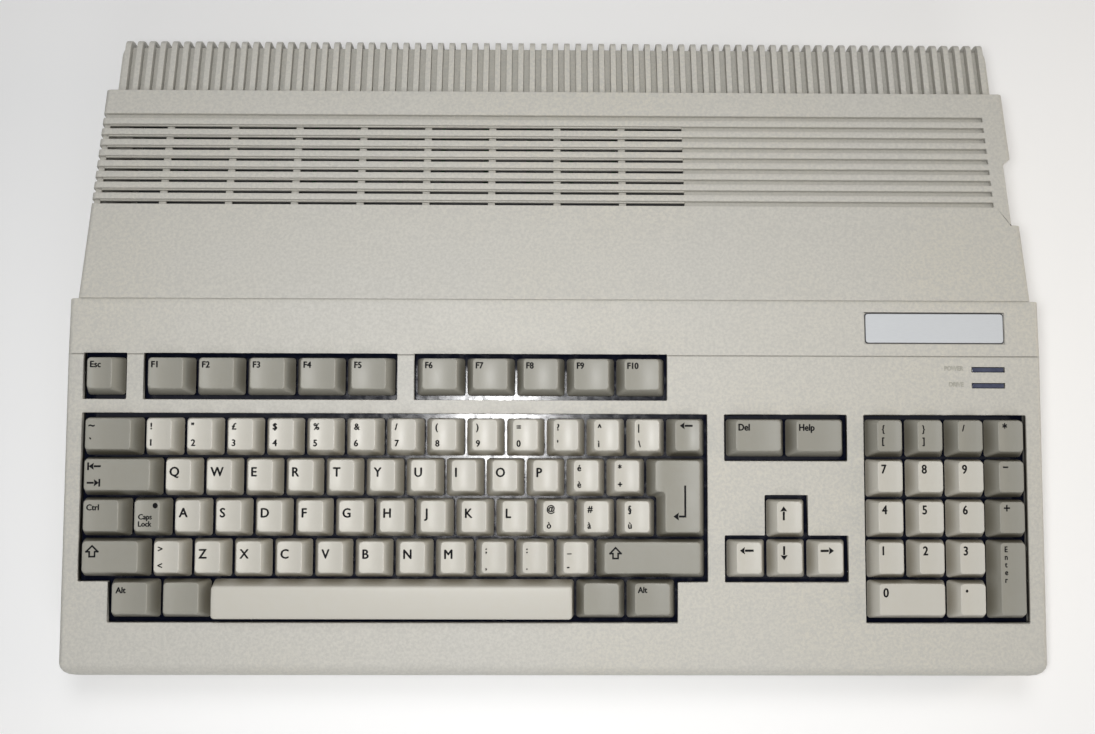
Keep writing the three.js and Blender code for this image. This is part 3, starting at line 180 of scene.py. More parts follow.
# Rear sockets: contacts of each, and which of them have pins
CONTACTS = {"joystick_port_1": 9, "joystick_port_2": 9, "serial_port": 25, "video_port": 23, "disk_port": 23,
            "parallel_port": 25}
PINNED = "joystick_port_1", "joystick_port_2", "serial_port", "video_port"
CONTACT_PITCH = 2.77 * MM
CONTACT_GAP = 2.84 * MM
PIN_DEPTH = 6.2 * MM
LOCK_INSET = 3 * MM
LOCK_DEPTH = 2.9 * MM
JACK_PITCH = 14.5 * MM
JACKS = {"audio_jacks": ("red_ring", "white_ring"), "mono_video_jack": ("yellow_ring",)}
POWER_PINS = (-2.6, 2.4), (2.6, 2.4), (-2.6, -2.4), (2.6, -2.4), (0, 0)
POWER_BELOW = 8.6 * MM
POWER_DEPTH = 8.8 * MM

# Camera as fitted to the photograph: place, and its turns in degrees
CAMERA_PLACE = -0.00775, -0.13021, 0.5176
CAMERA_AZIMUTH = 1.911
CAMERA_ELEVATION = 76.165
CAMERA_ROLL = 2.049

# Lights: place, what each points at, size, power against the main light's, and tint
LIGHTS = {
    "beside_camera": ((-0.05, -0.14, 0.56), (0, -0.02, 0), 0.07, 1, (1, 1, 1)),
    "rear_overhead": ((0.05, 0.6, 1.4), (0, 0, 0), 0.6, 2.7, (1, 1, 1)),
    "right_glow": ((0.9, 0.0, 0.35), (0.2, 0, 0), 0.3, 0.95, (1, 0.88, 0.72)),
    "front_fill": ((0.12, -0.8, 0.55), (0.05, -0.1, 0), 0.4, 0.95, (1, 1, 1)),
}
SURROUND = 0.3
FLOOR_HEIGHT = -0.5 * MM

# Moving keys: name, left and front edge in key units, width and depth
MOVING_KEYS = (
    [("key_escape", 0, 5.5, 1, 1)]
    + [(f"key_f{n}", 1.5 + (n - 1) * 1.25, 5.5, 1.25, 1) for n in range(1, 6)]
    + [(f"key_f{n}", 8.25 + (n - 6) * 1.25, 5.5, 1.25, 1) for n in range(6, 11)]
    + [
        ("key_grave", 0, 4, 1.5, 1),
        ("key_backspace", 14.5, 4, 1, 1),
        ("key_tab", 0, 3, 2, 1),
        ("key_return", 14.25, 2, 1.25, 2),
        ("key_control", 0, 2, 1.25, 1),
        ("key_caps_lock", 1.25, 2, 1, 1),
        ("key_left_shift", 0, 1, 1.75, 1),
        ("key_right_shift", 12.75, 1, 2.75, 1),
        ("key_left_alt", 0.75, 0, 1.25, 1),
        ("key_left_command", 2, 0, 1.25, 1),
        ("key_space", 3.25, 0, 9, 1),
        ("key_right_command", 12.25, 0, 1.25, 1),
        ("key_right_alt", 13.5, 0, 1.25, 1),
        ("key_delete", 16, 4, 1.5, 1),
        ("key_help", 17.5, 4, 1.5, 1),
        ("cursor_up", 17, 2, 1, 1),
        ("cursor_left", 16, 1, 1, 1),
        ("cursor_down", 17, 1, 1, 1),
        ("cursor_right", 18, 1, 1, 1),
        ("keypad_left_bracket", 19.5, 4, 1, 1),
        ("keypad_right_bracket", 20.5, 4, 1, 1),
        ("keypad_slash", 21.5, 4, 1, 1),
        ("keypad_star", 22.5, 4, 1, 1),
        ("keypad_minus", 22.5, 3, 1, 1),
        ("keypad_plus", 22.5, 2, 1, 1),
        ("keypad_enter", 22.5, 0, 1, 2),
        ("keypad_zero", 19.5, 0, 2, 1),
    ]
)
SHAPES = {"key_return": "return", "key_space": "space"}
LIGHT_KEYS = "key_space", "cursor_up", "cursor_left", "cursor_down", "cursor_right", "keypad_zero"

# Typing keys that are fixed on the key frame: left edge, front edge and what is printed on each
TYPING_ROWS = [
    (1.5, 4, ["!1", "\"2", "£3", "$4", "%5", "&6", "/7", "(8", ")9", "=0", "?'", "^ì", "|\\"]),
    (2, 3, ["Q", "W", "E", "R", "T", "Y", "U", "I", "O", "P", "éè", "*+"]),
    (2.25, 2, ["A", "S", "D", "F", "G", "H", "J", "K", "L", "@ò", "#à", "§ù"]),
    (1.75, 1, ["><", "Z", "X", "C", "V", "B", "N", "M", ";,", ":.", "_-"]),
    (19.5, 3, ["7", "8", "9"]),
    (19.5, 2, ["4", "5", "6"]),
    (19.5, 1, ["1", "2", "3"]),
    (21.5, 0, ["."]),
]

# Left edge of the numeric pad in key units
KEYPAD_LEFT = 19.5

# Words on the moving keys: text, letter height, and how far its left edge and its foot are from the left and
# rear edges of the key's top
WORDS = {
    "key_escape": [("Esc", 3.0, 1.3, 4.6)],
    **{f"key_f{n}": [(f"F{n}", 3.0, 1.4, 4.6)] for n in range(1, 11)},
    "key_grave": [("~", 3.8, 1.4, 4.9), ("`", 3.6, 1.8, 12.4)],
    "key_control": [("Ctrl", 2.8, 1.4, 4.8)],
    "key_caps_lock": [("Caps", 2.5, 1.7, 9.0), ("Lock", 2.5, 1.7, 12.3)],
    "key_left_alt": [("Alt", 2.8, 1.7, 4.9)],
    "key_right_alt": [("Alt", 2.8, 1.4, 4.4)],
    "key_delete": [("Del", 3.2, 1.3, 4.9)],
    "key_help": [("Help", 3.2, 1.3, 4.9)],
    "keypad_left_bracket": [("{", 3.1, 2.4, 5.4), ("[", 3.1, 2.4, 11.0)],
    "keypad_right_bracket": [("}", 3.1, 2.4, 5.4), ("]", 3.1, 2.4, 11.0)],
    "keypad_slash": [("/", 3.1, 2.2, 5.0)],
    "keypad_zero": [("0", 4.3, 1.8, 6.2)],
    "keypad_enter": [(c, 2.7, 2.0, 4.3 + 3.55 * i) for i, c in enumerate("Enter")],
}


def srgb(red, green, blue):
    """Linear colour of an 8-bit screen colour."""
    def linear(v):
        v /= 255
        return v / 12.92 if v <= 0.04045 else ((v + 0.055) / 1.055) ** 2.4
    return linear(red), linear(green), linear(blue)


def colour(name, description, *default):
    return FloatVectorProperty(name=name, description=description, subtype="COLOR", size=3, min=0, max=1,
                               default=srgb(*default))


def length(name, description, default):
    return FloatProperty(name=name, description=description, unit="LENGTH", min=0, default=default,
                         precision=5)


class CaseSettings(PropertyGroup):
    plastic: colour("Case plastic", "Colour of the moulded housings", 196, 194, 187)
    aged: colour("Aged plastic", "Colour that the plastic turns to in patches", 199, 195, 183)
    edge: length("Edge rounding", "Radius along the housings' edges", 0.45 * MM)
    plate: colour("Name plate", "Colour of the bare plate behind the keys", 203, 206, 209)


class KeySettings(PropertyGroup):
    light: colour("Light keys", "Colour of the typing keys", 194, 191, 182)
    dark: colour("Dark keys", "Colour of the function and control keys", 148, 146, 137)
    ink: colour("Printing", "Colour of the letters and signs", 16, 16, 19)
    dish: length("Dish depth", "How far a key's top is hollowed", 1.0 * MM)
    edge: length("Top edge", "Rounding of a key's upper edge", 0.55 * MM)


class SocketSettings(PropertyGroup):
    shell: colour("Shells", "Colour of the plated connector shells", 196, 196, 192)
    insulator: colour("Insulator", "Colour of the moulded connector faces", 30, 30, 32)
    board: colour("Board", "Colour of the circuit board's mask", 28, 84, 52)


class StudioSettings(PropertyGroup):
    floor: colour("Floor", "Colour of the studio floor", 252, 252, 252)
    lens: FloatProperty(name="Lens", description="Focal length on a 36 mm wide sensor", default=32.95,
                        min=10)
    flash_power: FloatProperty(name="Main light", description="Power of the small light beside the camera",
                               default=1.48, unit="POWER")


SETTINGS = {"case": CaseSettings, "keys": KeySettings, "sockets": SocketSettings,
            "studio": StudioSettings}


def settings(group):
    return getattr(bpy.context.scene, "computer_" + group)


class Surface:
    """A procedural material, built node by node round one Principled shader."""

    def __init__(self, name, roughness=0.5, metallic=0.0):
        self.material = bpy.data.materials.new(FINISH + name)
        self.material.use_nodes = True
        self.tree = self.material.node_tree
        self.tree.nodes.clear()
        self.shader = self.add("ShaderNodeBsdfPrincipled")
        out = self.add("ShaderNodeOutputMaterial")
        self.join(self.shader.outputs["BSDF"], out.inputs["Surface"])
        self.shader.inputs["Roughness"].default_value = roughness
        self.shader.inputs["Metallic"].default_value = metallic
        self.coordinates = self.add("ShaderNodeTexCoord").outputs["Object"]

    def add(self, kind, **values):
        node = self.tree.nodes.new(kind)
        for key, value in values.items():
            setattr(node, key, value)
        return node

    def join(self, start, end):
        self.tree.links.new(start, end)

    def noise(self, size, detail=2.0, grain=0.5, stretch=None):
        """Noise whose features are about size metres across."""
        node = self.add("ShaderNodeTexNoise")
        node.inputs["Scale"].default_value = 1 / size
        node.inputs["Detail"].default_value = detail
        node.inputs["Roughness"].default_value = grain
        source = self.coordinates
        if stretch:
            mapping = self.add("ShaderNodeMapping")
            mapping.inputs["Scale"].default_value = stretch
            self.join(source, mapping.inputs["Vector"])
            source = mapping.outputs["Vector"]
        self.join(source, node.inputs["Vector"])
        return node.outputs["Fac"]

    def spread(self, value, low, high, low_out=0.0, high_out=1.0):
        """value mapped from low..high to low_out..high_out, and held inside it."""
        node = self.add("ShaderNodeMapRange")
        numbers = {"From Min": low, "From Max": high, "To Min": low_out, "To Max": high_out}
        for key, number in numbers.items():
            node.inputs[key].default_value = number
        self.join(value, node.inputs["Value"])
        return node.outputs["Result"]

    def mottle(self, size, detail, grain=0.5, low=0.3, high=0.7, out=(0.0, 1.0)):
        """Noise with its range low..high stretched over out."""
        return self.spread(self.noise(size, detail, grain), low, high, *out)

    def blend(self, share, first, second):
        node = self.add("ShaderNodeMix", data_type="RGBA")
        for socket, item in ((node.inputs[0], share), (node.inputs[6], first), (node.inputs[7], second)):
            if isinstance(item, bpy.types.NodeSocket):
                self.join(item, socket)
            else:
                socket.default_value = (*item, 1)
        return node.outputs[2]

    def colour(self, value):
        self.join(value, self.shader.inputs["Base Color"])

    def rough(self, value):
        self.join(value, self.shader.inputs["Roughness"])

    def bump(self, height, strength, distance):
        node = self.add("ShaderNodeBump")
        node.inputs["Strength"].default_value = strength
        node.inputs["Distance"].default_value = distance
        self.join(height, node.inputs["Height"])
        before = self.shader.inputs["Normal"].links
        if before:
            self.join(before[0].from_socket, node.inputs["Normal"])
        self.join(node.outputs["Normal"], self.shader.inputs["Normal"])

    def dirt_and_painted_shade(self, tone, reach, amount):
        """Blends the base colour into tone in corners that are within reach of another face: grime, and
        painted shade where light is shut out.
        """
        shade = self.add("ShaderNodeAmbientOcclusion", samples=4)
        shade.inputs["Distance"].default_value = reach
        painted_shade_share = self.spread(shade.outputs["AO"], 0.25, 0.95, amount, 0.0)
        base = self.shader.inputs["Base Color"].links[0].from_socket
        self.colour(self.blend(painted_shade_share, base, tone))


def shade_of(tone, *shares):
    """A tone times one share, or times a share for each of its channels."""
    return tuple(v * share for v, share in zip(tone, shares if len(shares) == 3 else shares * 3))


def case_plastic(name):
    """Spark-eroded moulded plastic, faintly mottled and yellowed with age."""
    look = settings("case")
    s = Surface(name, roughness=0.55)
    base = s.blend(s.mottle(0.11, 3, low=0.35), look.plastic, look.aged)
    base = s.blend(s.mottle(0.009, 4, 0.6, out=(0, 0.25)), base, shade_of(look.plastic, 0.93))
    speck = s.mottle(0.0014, 3, 0.7, 0.38, 0.62)
    s.colour(s.blend(speck, base, shade_of(look.plastic, 0.87)))
    # Grime and painted shade: the plastic turns to a dark aged tone in corners and grooves within 3 mm of
    # another face.
    s.dirt_and_painted_shade(shade_of(look.aged, 0.42), 0.003, 0.75)
    s.rough(s.mottle(0.02, 3, out=(0.5, 0.62)))
    s.bump(s.noise(0.0012, 3, 0.7), 0.5, 0.0001)
    s.bump(s.noise(0.006), 0.1, 0.0002)
    return s.material


def smooth_plastic(name):
    """The same plastic from a polished tool."""
    look = settings("case")
    s = Surface(name, roughness=0.4)
    s.colour(s.blend(s.mottle(0.02, 3), look.plastic, look.aged))
    # Grime and painted shade: darker aged tone in corners within 2 mm of another face.
    s.dirt_and_painted_shade(shade_of(look.aged, 0.6), 0.002, 0.5)
    s.rough(s.mottle(0.006, 3, out=(0.34, 0.46)))
    s.bump(s.noise(0.0008), 0.12, 0.00004)
    return s.material


def key_plastic(name, tone):
    """Satin key plastic, smoother in the middle of each top, with a shade of its own on each key."""
    s = Surface(name, roughness=0.4)
    own = s.add("ShaderNodeObjectInfo").outputs["Random"]
    base = s.blend(s.spread(own, 0, 1), shade_of(tone, 0.95), shade_of(tone, 1.03))
    cloud = s.mottle(0.004, 4, 0.6, 0.35, out=(0, 0.3))
    s.colour(s.blend(cloud, base, shade_of(tone, 0.93, 0.91, 0.86)))
    # Grime and painted shade: key sides and the gaps between keys turn dark brown within 6 mm of another face.
    s.dirt_and_painted_shade(shade_of(tone, 0.42, 0.38, 0.3), 0.006, 0.85)
    distance = s.add("ShaderNodeVectorMath", operation="LENGTH")
    flat = s.add("ShaderNodeMapping")
    flat.inputs["Scale"].default_value = (1, 1, 0)
    s.join(s.coordinates, flat.inputs["Vector"])
    s.join(flat.outputs["Vector"], distance.inputs[0])
    s.rough(s.spread(distance.outputs["Value"], 0.002, 0.0075, 0.38, 0.46))
    s.bump(s.noise(0.0005, 2, 0.6), 0.16, 0.00004)
    return s.material


def ink(name):
    tone = settings("keys").ink
    s = Surface(name, roughness=0.7)
    s.shader.inputs["Specular IOR Level"].default_value = 0.15
    s.colour(s.blend(s.mottle(0.0006, 3, low=0.4, high=0.75), tone, shade_of(tone, 1.6)))
    s.bump(s.noise(0.0004), 0.1, 0.00003)
    return s.material


def dark_plate(name):
    """Dark lacquered sheet under the keys, dusty between them."""
    s = Surface(name, roughness=0.22)
    dust = s.mottle(0.004, 4, 0.6, 0.5, 0.75, (0, 0.25))
    s.colour(s.blend(dust, srgb(17, 20, 36), srgb(56, 56, 62)))
    s.rough(s.mottle(0.004, 4, 0.6, 0.4, out=(0.14, 0.3)))
    s.bump(s.noise(0.002), 0.1, 0.0001)
    return s.material


def rolled_metal(name, tone, roughness=0.35):
    """Rolled or plated sheet with fine lines along X and dull patches."""
    s = Surface(name, roughness=roughness, metallic=1.0)
    lines = s.noise(0.004, 4, 0.6, (1, 14, 14))
    s.colour(s.blend(s.spread(lines, 0.3, 0.7), shade_of(tone, 0.86), tone))
    s.rough(s.mottle(0.008, 4, 0.7, out=(roughness - 0.1, roughness + 0.14)))
    s.bump(lines, 0.15, 0.00003)
    return s.material


def moulded(name, tone, roughness=0.45, grain=0.0006):
    """Plain engineering plastic or rubber."""
    s = Surface(name, roughness=roughness)
    s.colour(s.blend(s.mottle(0.003, 4), shade_of(tone, 0.8), shade_of(tone, 1.15)))
    s.rough(s.mottle(0.004, 3, out=(roughness - 0.08, roughness + 0.08)))
    s.bump(s.noise(grain), 0.2, 0.00005)
    return s.material


def board_mask(name):
    """Green solder mask with tracks under it."""
    tone = settings("sockets").board
    s = Surface(name, roughness=0.3)
    tracks = s.add("ShaderNodeTexBrick", offset=0.37, squash=0.6, squash_frequency=3)
    tracks.inputs["Scale"].default_value = 320
    for key, share in {"Color1": 1, "Color2": 0.82, "Mortar": 1.5}.items():
        tracks.inputs[key].default_value = (*shade_of(tone, share), 1)
    tracks.inputs["Mortar Size"].default_value = 0.02
    s.join(s.coordinates, tracks.inputs["Vector"])
    s.colour(tracks.outputs["Color"])
    s.rough(s.mottle(0.01, 3, out=(0.24, 0.4)))
    s.bump(tracks.outputs["Fac"], 0.3, 0.00003)
    return s.material


def lamp_lens(name):
    """Smoked lens of an unlit lamp."""
    s = Surface(name, roughness=0.14)
    s.colour(s.blend(s.mottle(0.003, 3), srgb(78, 82, 102), srgb(62, 66, 86)))
    # Painted shade: the lens turns nearly black within 1.2 mm of the walls of its recess.
    s.dirt_and_painted_shade(srgb(22, 22, 28), 0.0012, 0.9)
    s.rough(s.mottle(0.002, 3, out=(0.1, 0.24)))
    s.bump(s.noise(0.001), 0.06, 0.00003)
    return s.material


def plate_face(name):
    """Brushed silver foil of the bare plate."""
    tone = settings("case").plate
    s = Surface(name, roughness=0.42)
    lines = s.noise(0.003, 3, 0.6, (1, 18, 1))
    s.colour(s.blend(s.spread(lines, 0.3, 0.7), shade_of(tone, 0.93), tone))
    s.rough(s.mottle(0.01, 3, out=(0.38, 0.48)))
    s.bump(lines, 0.06, 0.00002)
    return s.material


def studio_paper(name):
    s = Surface(name, roughness=0.85)
    tone = settings("studio").floor
    s.colour(s.blend(s.mottle(0.4, 2), tone, shade_of(tone, 0.985)))
    return s.material


# What makes each finish, with the tone and the other values that it needs
MATERIALS = {
    "case_plastic": (case_plastic,),
    "door_plastic": (smooth_plastic,),
    "light_key": (key_plastic, ("keys", "light")),
    "dark_key": (key_plastic, ("keys", "dark")),
    "key_ink": (ink,),
    "key_plate": (dark_plate,),
    "worn_print": (moulded, (168, 166, 156), 0.6),
    "lamp_lens": (lamp_lens,),
    "name_plate": (plate_face,),
    "plate_edge": (moulded, (52, 52, 56), 0.4),
    "circuit_board": (board_mask,),
    "plated_steel": (rolled_metal, (186, 188, 190)),
    "dull_shield": (rolled_metal, (92, 92, 94), 0.62),
    "drive_steel": (rolled_metal, (176, 176, 172), 0.4),
    "tin_shell": (rolled_metal, ("sockets", "shell"), 0.28),
    "gold_contact": (rolled_metal, (206, 172, 96), 0.25),
    "insulator": (moulded, ("sockets", "insulator")),
    "rubber": (moulded, (44, 43, 42), 0.75, 0.0009),
    "red_ring": (moulded, (168, 40, 34), 0.35),
    "white_ring": (moulded, (224, 222, 214), 0.35),
    "yellow_ring": (moulded, (214, 178, 44), 0.35),
    "studio_floor": (studio_paper,),
}


def finish_of(name):
    """The named material, made when it is first asked for."""
    known = bpy.data.materials.get(FINISH + name)
    if known:
        return known
    make, *values = MATERIALS[name]
    if values:
        source = values[0]
        values[0] = srgb(*source) if len(source) == 3 else getattr(settings(source[0]), source[1])
    return make(name, *values)


def mesh_object(name, bm, materials, place=None, sharp=35):
    """An object from a bmesh, with its finishes, smooth but for edges sharper than so many degrees."""
    bmesh.ops.recalc_face_normals(bm, faces=bm.faces)
    limit = math.radians(sharp)
    for edge in bm.edges:
        edge.smooth = len(edge.link_faces) == 2 and edge.calc_face_angle(0) < limit
    for face in bm.faces:
        face.smooth = True
    mesh = bpy.data.meshes.new(name)
    bm.to_mesh(mesh)
    bm.free()
    for item in materials:
        mesh.materials.append(finish_of(item))
    obj = bpy.data.objects.new(name, mesh)
    bpy.context.scene.collection.objects.link(obj)
    if place is not None:
        obj.matrix_world = place
    return obj


def settle(obj, body, slot, *nodes):
    """Ties a piece to its body, and lets it stand for CAD nodes, which it hides. slot is not used."""
    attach(obj, body)
    if nodes:
        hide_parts(*nodes)


def outline(corners, insets, radius, steps=5, spacing=0.0016):
    """Points round a polygon of upright and level sides, which move in by (left, right, front, rear) and meet
    in round corners. The count depends only on the polygon, so outlines of one polygon can be joined."""
    left, right, front, rear = insets
    count = len(corners)
    moved = []
    for i, (x, y) in enumerate(corners):
        for other in (corners[i - 1], corners[(i + 1) % count]):
            before = other is corners[i - 1]
            dx, dy = (x - other[0], y - other[1]) if before else (other[0] - x, other[1] - y)
            if abs(dy) < abs(dx):
                y_new = y + front if dx > 0 else y - rear
            else:
                x_new = x - right if dy > 0 else x + left
        moved.append(Vector((x_new, y_new)))
    points = []
    for i, p in enumerate(moved):
        q, r = moved[i - 1], moved[(i + 1) % count]
        d1, d2 = (p - q).normalized(), (r - p).normalized()
        a, b = p - d1 * radius, p + d2 * radius
        centre = a + b - p
        for k in range(steps + 1):
            turn = math.pi / 2 * k / steps
            points.append(centre + (a - centre) * math.cos(turn) + (b - centre) * math.sin(turn))
        along = (Vector(corners[(i + 1) % count]) - Vector(corners[i])).length
        parts = max(1, round(along / spacing))
        end = r - d2 * radius
        for k in range(1, parts):
            points.append(b.lerp(end, k / parts))
    return points


def rectangle(width, depth):
    x, y = width / 2, depth / 2
    return [(-x, -y), (x, -y), (x, y), (-x, y)]


def add_ring(bm, points, height):
    """height is a number or a function of x and y."""
    level = height if callable(height) else lambda x, y: height
    return [bm.verts.new((p.x, p.y, level(p.x, p.y))) for p in points]


def bridge(bm, lower, upper, flip=False):
    """Joins two rings of equal count with a band of faces."""
    count = len(lower)
    for i in range(count):
        j = (i + 1) % count
        quad = [lower[i], lower[j], upper[j], upper[i]]
        bm.faces.new(quad[::-1] if flip else quad)


def fill(bm, ring, height, spacing):
    """Closes a ring with an even net of faces that follows height(x, y)."""
    flat = [Vector((v.co.x, v.co.y)) for v in ring]
    xs, ys = [p.x for p in flat], [p.y for p in flat]
    left, front = min(xs), min(ys)
    wide, deep = max(xs) - left, max(ys) - front
    edges = [(i, (i + 1) % len(flat)) for i in range(len(flat))]
    inner = []
    columns = max(2, round(wide / spacing))
    rows = max(2, round(deep / spacing))
    for i in range(1, columns):
        for j in range(1, rows):
            p = Vector((left + wide * i / columns, front + deep * j / rows))
            if inside(p, flat) and min((p - q).length for q in flat) > spacing * 0.4:
                inner.append(p)
    made, _, faces, origin, _, _ = delaunay_2d_cdt(flat + inner, edges, [], 1, 1e-7)
    verts = []
    for p, source in zip(made, origin):
        known = [k for k in source if k < len(ring)]
        verts.append(ring[known[0]] if known else bm.verts.new((p.x, p.y, height(p.x, p.y))))
    for face in faces:
        if len({verts[k] for k in face}) == len(face):
            bm.faces.new([verts[k] for k in face])


def inside(p, polygon):
    hit = False
    for a, b in zip(polygon, polygon[1:] + polygon[:1]):
        if (a.y > p.y) != (b.y > p.y) and p.x < (b.x - a.x) * (p.y - a.y) / (b.y - a.y) + a.x:
            hit = not hit
    return hit


def box_into(bm, low, high, edge=0.0, segments=2):
    """Adds a box with rounded edges to a bmesh."""
    middle = (Vector(low) + Vector(high)) / 2
    size = Vector(high) - Vector(low)
    matrix = Matrix.Translation(middle) @ Matrix.Diagonal((*size, 1))
    verts = bmesh.ops.create_cube(bm, size=1, matrix=matrix)["verts"]
    if edge:
        edges = list(dict.fromkeys(e for v in verts for e in v.link_edges))
        bmesh.ops.bevel(bm, geom=edges, offset=edge, segments=segments, profile=0.5, affect="EDGES",
                        clamp_overlap=True)


def turned_piece(name, profile, places, segments, finish, slot):
    """Makes a piece of one profile that is turned about each of the places' own Z axes."""
    bm = bmesh.new()
    angles = [2 * math.pi * k / segments for k in range(segments)]
    for place in places:
        rings = []
        for radius, height in profile:
            radius, height = radius * MM, height * MM
            points = [(radius * math.cos(a), radius * math.sin(a), height) for a in angles]
            rings.append([bm.verts.new(place @ Vector(p)) for p in (points if radius else points[:1])])
        for lower, upper in zip(rings, rings[1:]):
            for k in range(segments):
                j = (k + 1) % segments
                corners = (lower, k), (lower, j), (upper, j), (upper, k)
                loop = [ring[i % len(ring)] for ring, i in corners]
                unique = [v for n, v in enumerate(loop) if v not in loop[:n]]
                if len(unique) > 2:
                    bm.faces.new(unique)
    settle(mesh_object(name, bm, [finish]), ROOT, slot)


def seen_from_outside(edges):
    """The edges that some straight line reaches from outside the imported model."""
    points, faces = [], []
    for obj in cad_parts.values():
        start = len(points)
        points += [v.co for v in obj.data.vertices]
        faces += [[start + i for i in p.vertices] for p in obj.data.polygons]
    whole = BVHTree.FromPolygons(points, faces)
    golden = math.pi * (3 - math.sqrt(5))
    rays = []
    for k in range(RAY_COUNT):
        z = 1 - 2 * (k + 0.5) / RAY_COUNT
        reach = math.sqrt(1 - z * z)
        rays.append(Vector((reach * math.cos(golden * k), reach * math.sin(golden * k), z)))
    found = []
    for edge in edges:
        away = sum((f.normal for f in edge.link_faces), Vector())
        middle = (edge.verts[0].co + edge.verts[1].co) / 2
        start = middle + away.normalized() * RAY_CLEARANCE
        if any(ray.dot(away) > 0.05 and whole.ray_cast(start, ray)[0] is None for ray in rays):
            found.append(edge)
    return found


def softened(node, name, finish, edge, slot, segments=2, body=ROOT, share=None, cutters=()):
    """Makes a copy of a CAD node with its flat faces merged and its edges rounded, standing for the node.
    share gives the part of the rounding that an edge gets, from its middle."""
    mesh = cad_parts[node].data
    if cutters:
        mesh = carved(mesh, cutters)
    bm = bmesh.new()
    bm.from_mesh(mesh)
    bmesh.ops.remove_doubles(bm, verts=bm.verts, dist=SAME_POINT)
    bmesh.ops.dissolve_limit(bm, angle_limit=math.radians(SAME_PLANE), verts=bm.verts, edges=bm.edges)
    bmesh.ops.triangulate(bm, faces=bm.faces)
    for face in bm.faces:
        face.material_index = 0
    if share:
        weights = bm.edges.layers.float.new("bevel_weight_edge")
        bent = [e for e in bm.edges if len(e.link_faces) == 2 and e.calc_face_angle(0) > math.radians(SHARP)]
        for item in seen_from_outside(bent):
            item[weights] = share((item.verts[0].co + item.verts[1].co) / 2)
    obj = mesh_object(name, bm, [finish], sharp=SHARP)
    rounding = obj.modifiers.new("edges", "BEVEL")
    rounding.width = edge
    rounding.segments = segments
    rounding.limit_method = "WEIGHT" if share else "ANGLE"
    rounding.angle_limit = math.radians(SHARP)
    rounding.use_clamp_overlap = not share
    rounding.miter_outer = "MITER_ARC"
    weighted = obj.modifiers.new("shading", "WEIGHTED_NORMAL")
    weighted.keep_sharp = False
    weighted.weight = 90
    settle(obj, body, slot, node)


def carved(mesh, cutters):
    """A copy of a mesh without what lies in the cutters, which are boxes given as (low, high)."""
    bm = bmesh.new()
    for low, high in cutters:
        box_into(bm, low, high)
    bmesh.ops.recalc_face_normals(bm, faces=bm.faces)
    tool_mesh = bpy.data.meshes.new("cutters")
    bm.to_mesh(tool_mesh)
    bm.free()
    tool = bpy.data.objects.new("cutters", tool_mesh)
    blank = bpy.data.objects.new("blank", mesh.copy())
    for obj in (tool, blank):
        bpy.context.scene.collection.objects.link(obj)
    cut = blank.modifiers.new("cut", "BOOLEAN")
    cut.operation = "DIFFERENCE"
    cut.solver = "EXACT"
    cut.object = tool
    bpy.context.view_layer.update()
    result = bpy.data.meshes.new_from_object(blank.evaluated_get(bpy.context.evaluated_depsgraph_get()))
    for obj in (tool, blank):
        data = obj.data
        bpy.data.objects.remove(obj)
        bpy.data.meshes.remove(data)
    return result


def deck_place():
    """Matrix that carries the key grid's own plane onto the deck."""
    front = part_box("upper_housing")[0].y + KEYS_SETBACK
    height = deck_height(KEYS_SETBACK)
    corner = Matrix.Translation((-PITCH * UNITS_WIDE / 2, front, height))
    return corner @ Matrix.Rotation(DECK_TILT, 4, "X")


def key_place(left, front, wide, deep):
    middle = Matrix.Translation(((left + wide / 2) * PITCH, (front + deep / 2) * PITCH, -SKIRT_DEPTH))
    return deck_place() @ middle


def key_outline(wide, deep, shape):
    corners = rectangle(wide * PITCH - KEY_GAP, deep * PITCH - KEY_GAP)
    if shape != "return":
        return corners
    x, y = corners[2]
    reach = 0.25 * PITCH
    notch = KEY_GAP / 2
    return [(-x, -y), (x, -y), (x, y), (-x - reach, y), (-x - reach, notch), (-x, notch)]


def key_slopes(shape):
    """How far a key's top is drawn in at its left, right, front and rear."""
    return SPACE_SLOPES if shape == "space" else KEY_SLOPES


def key_surface(wide, deep, shape):
    """Height of a key's top as a function of x and y."""
    if shape == "space":
        rear = (deep * PITCH - KEY_GAP) / 2
        return lambda x, y: KEY_HEIGHT - SPACE_CROWN * (abs(y + SPACE_CREST) / rear) ** 2.2
    depth = settings("keys").dish
    half = (wide * PITCH - KEY_GAP) / 2 - KEY_SLOPES[0]
    return lambda x, y: KEY_HEIGHT - depth + depth * min(1.2, abs(x) / half) ** 2


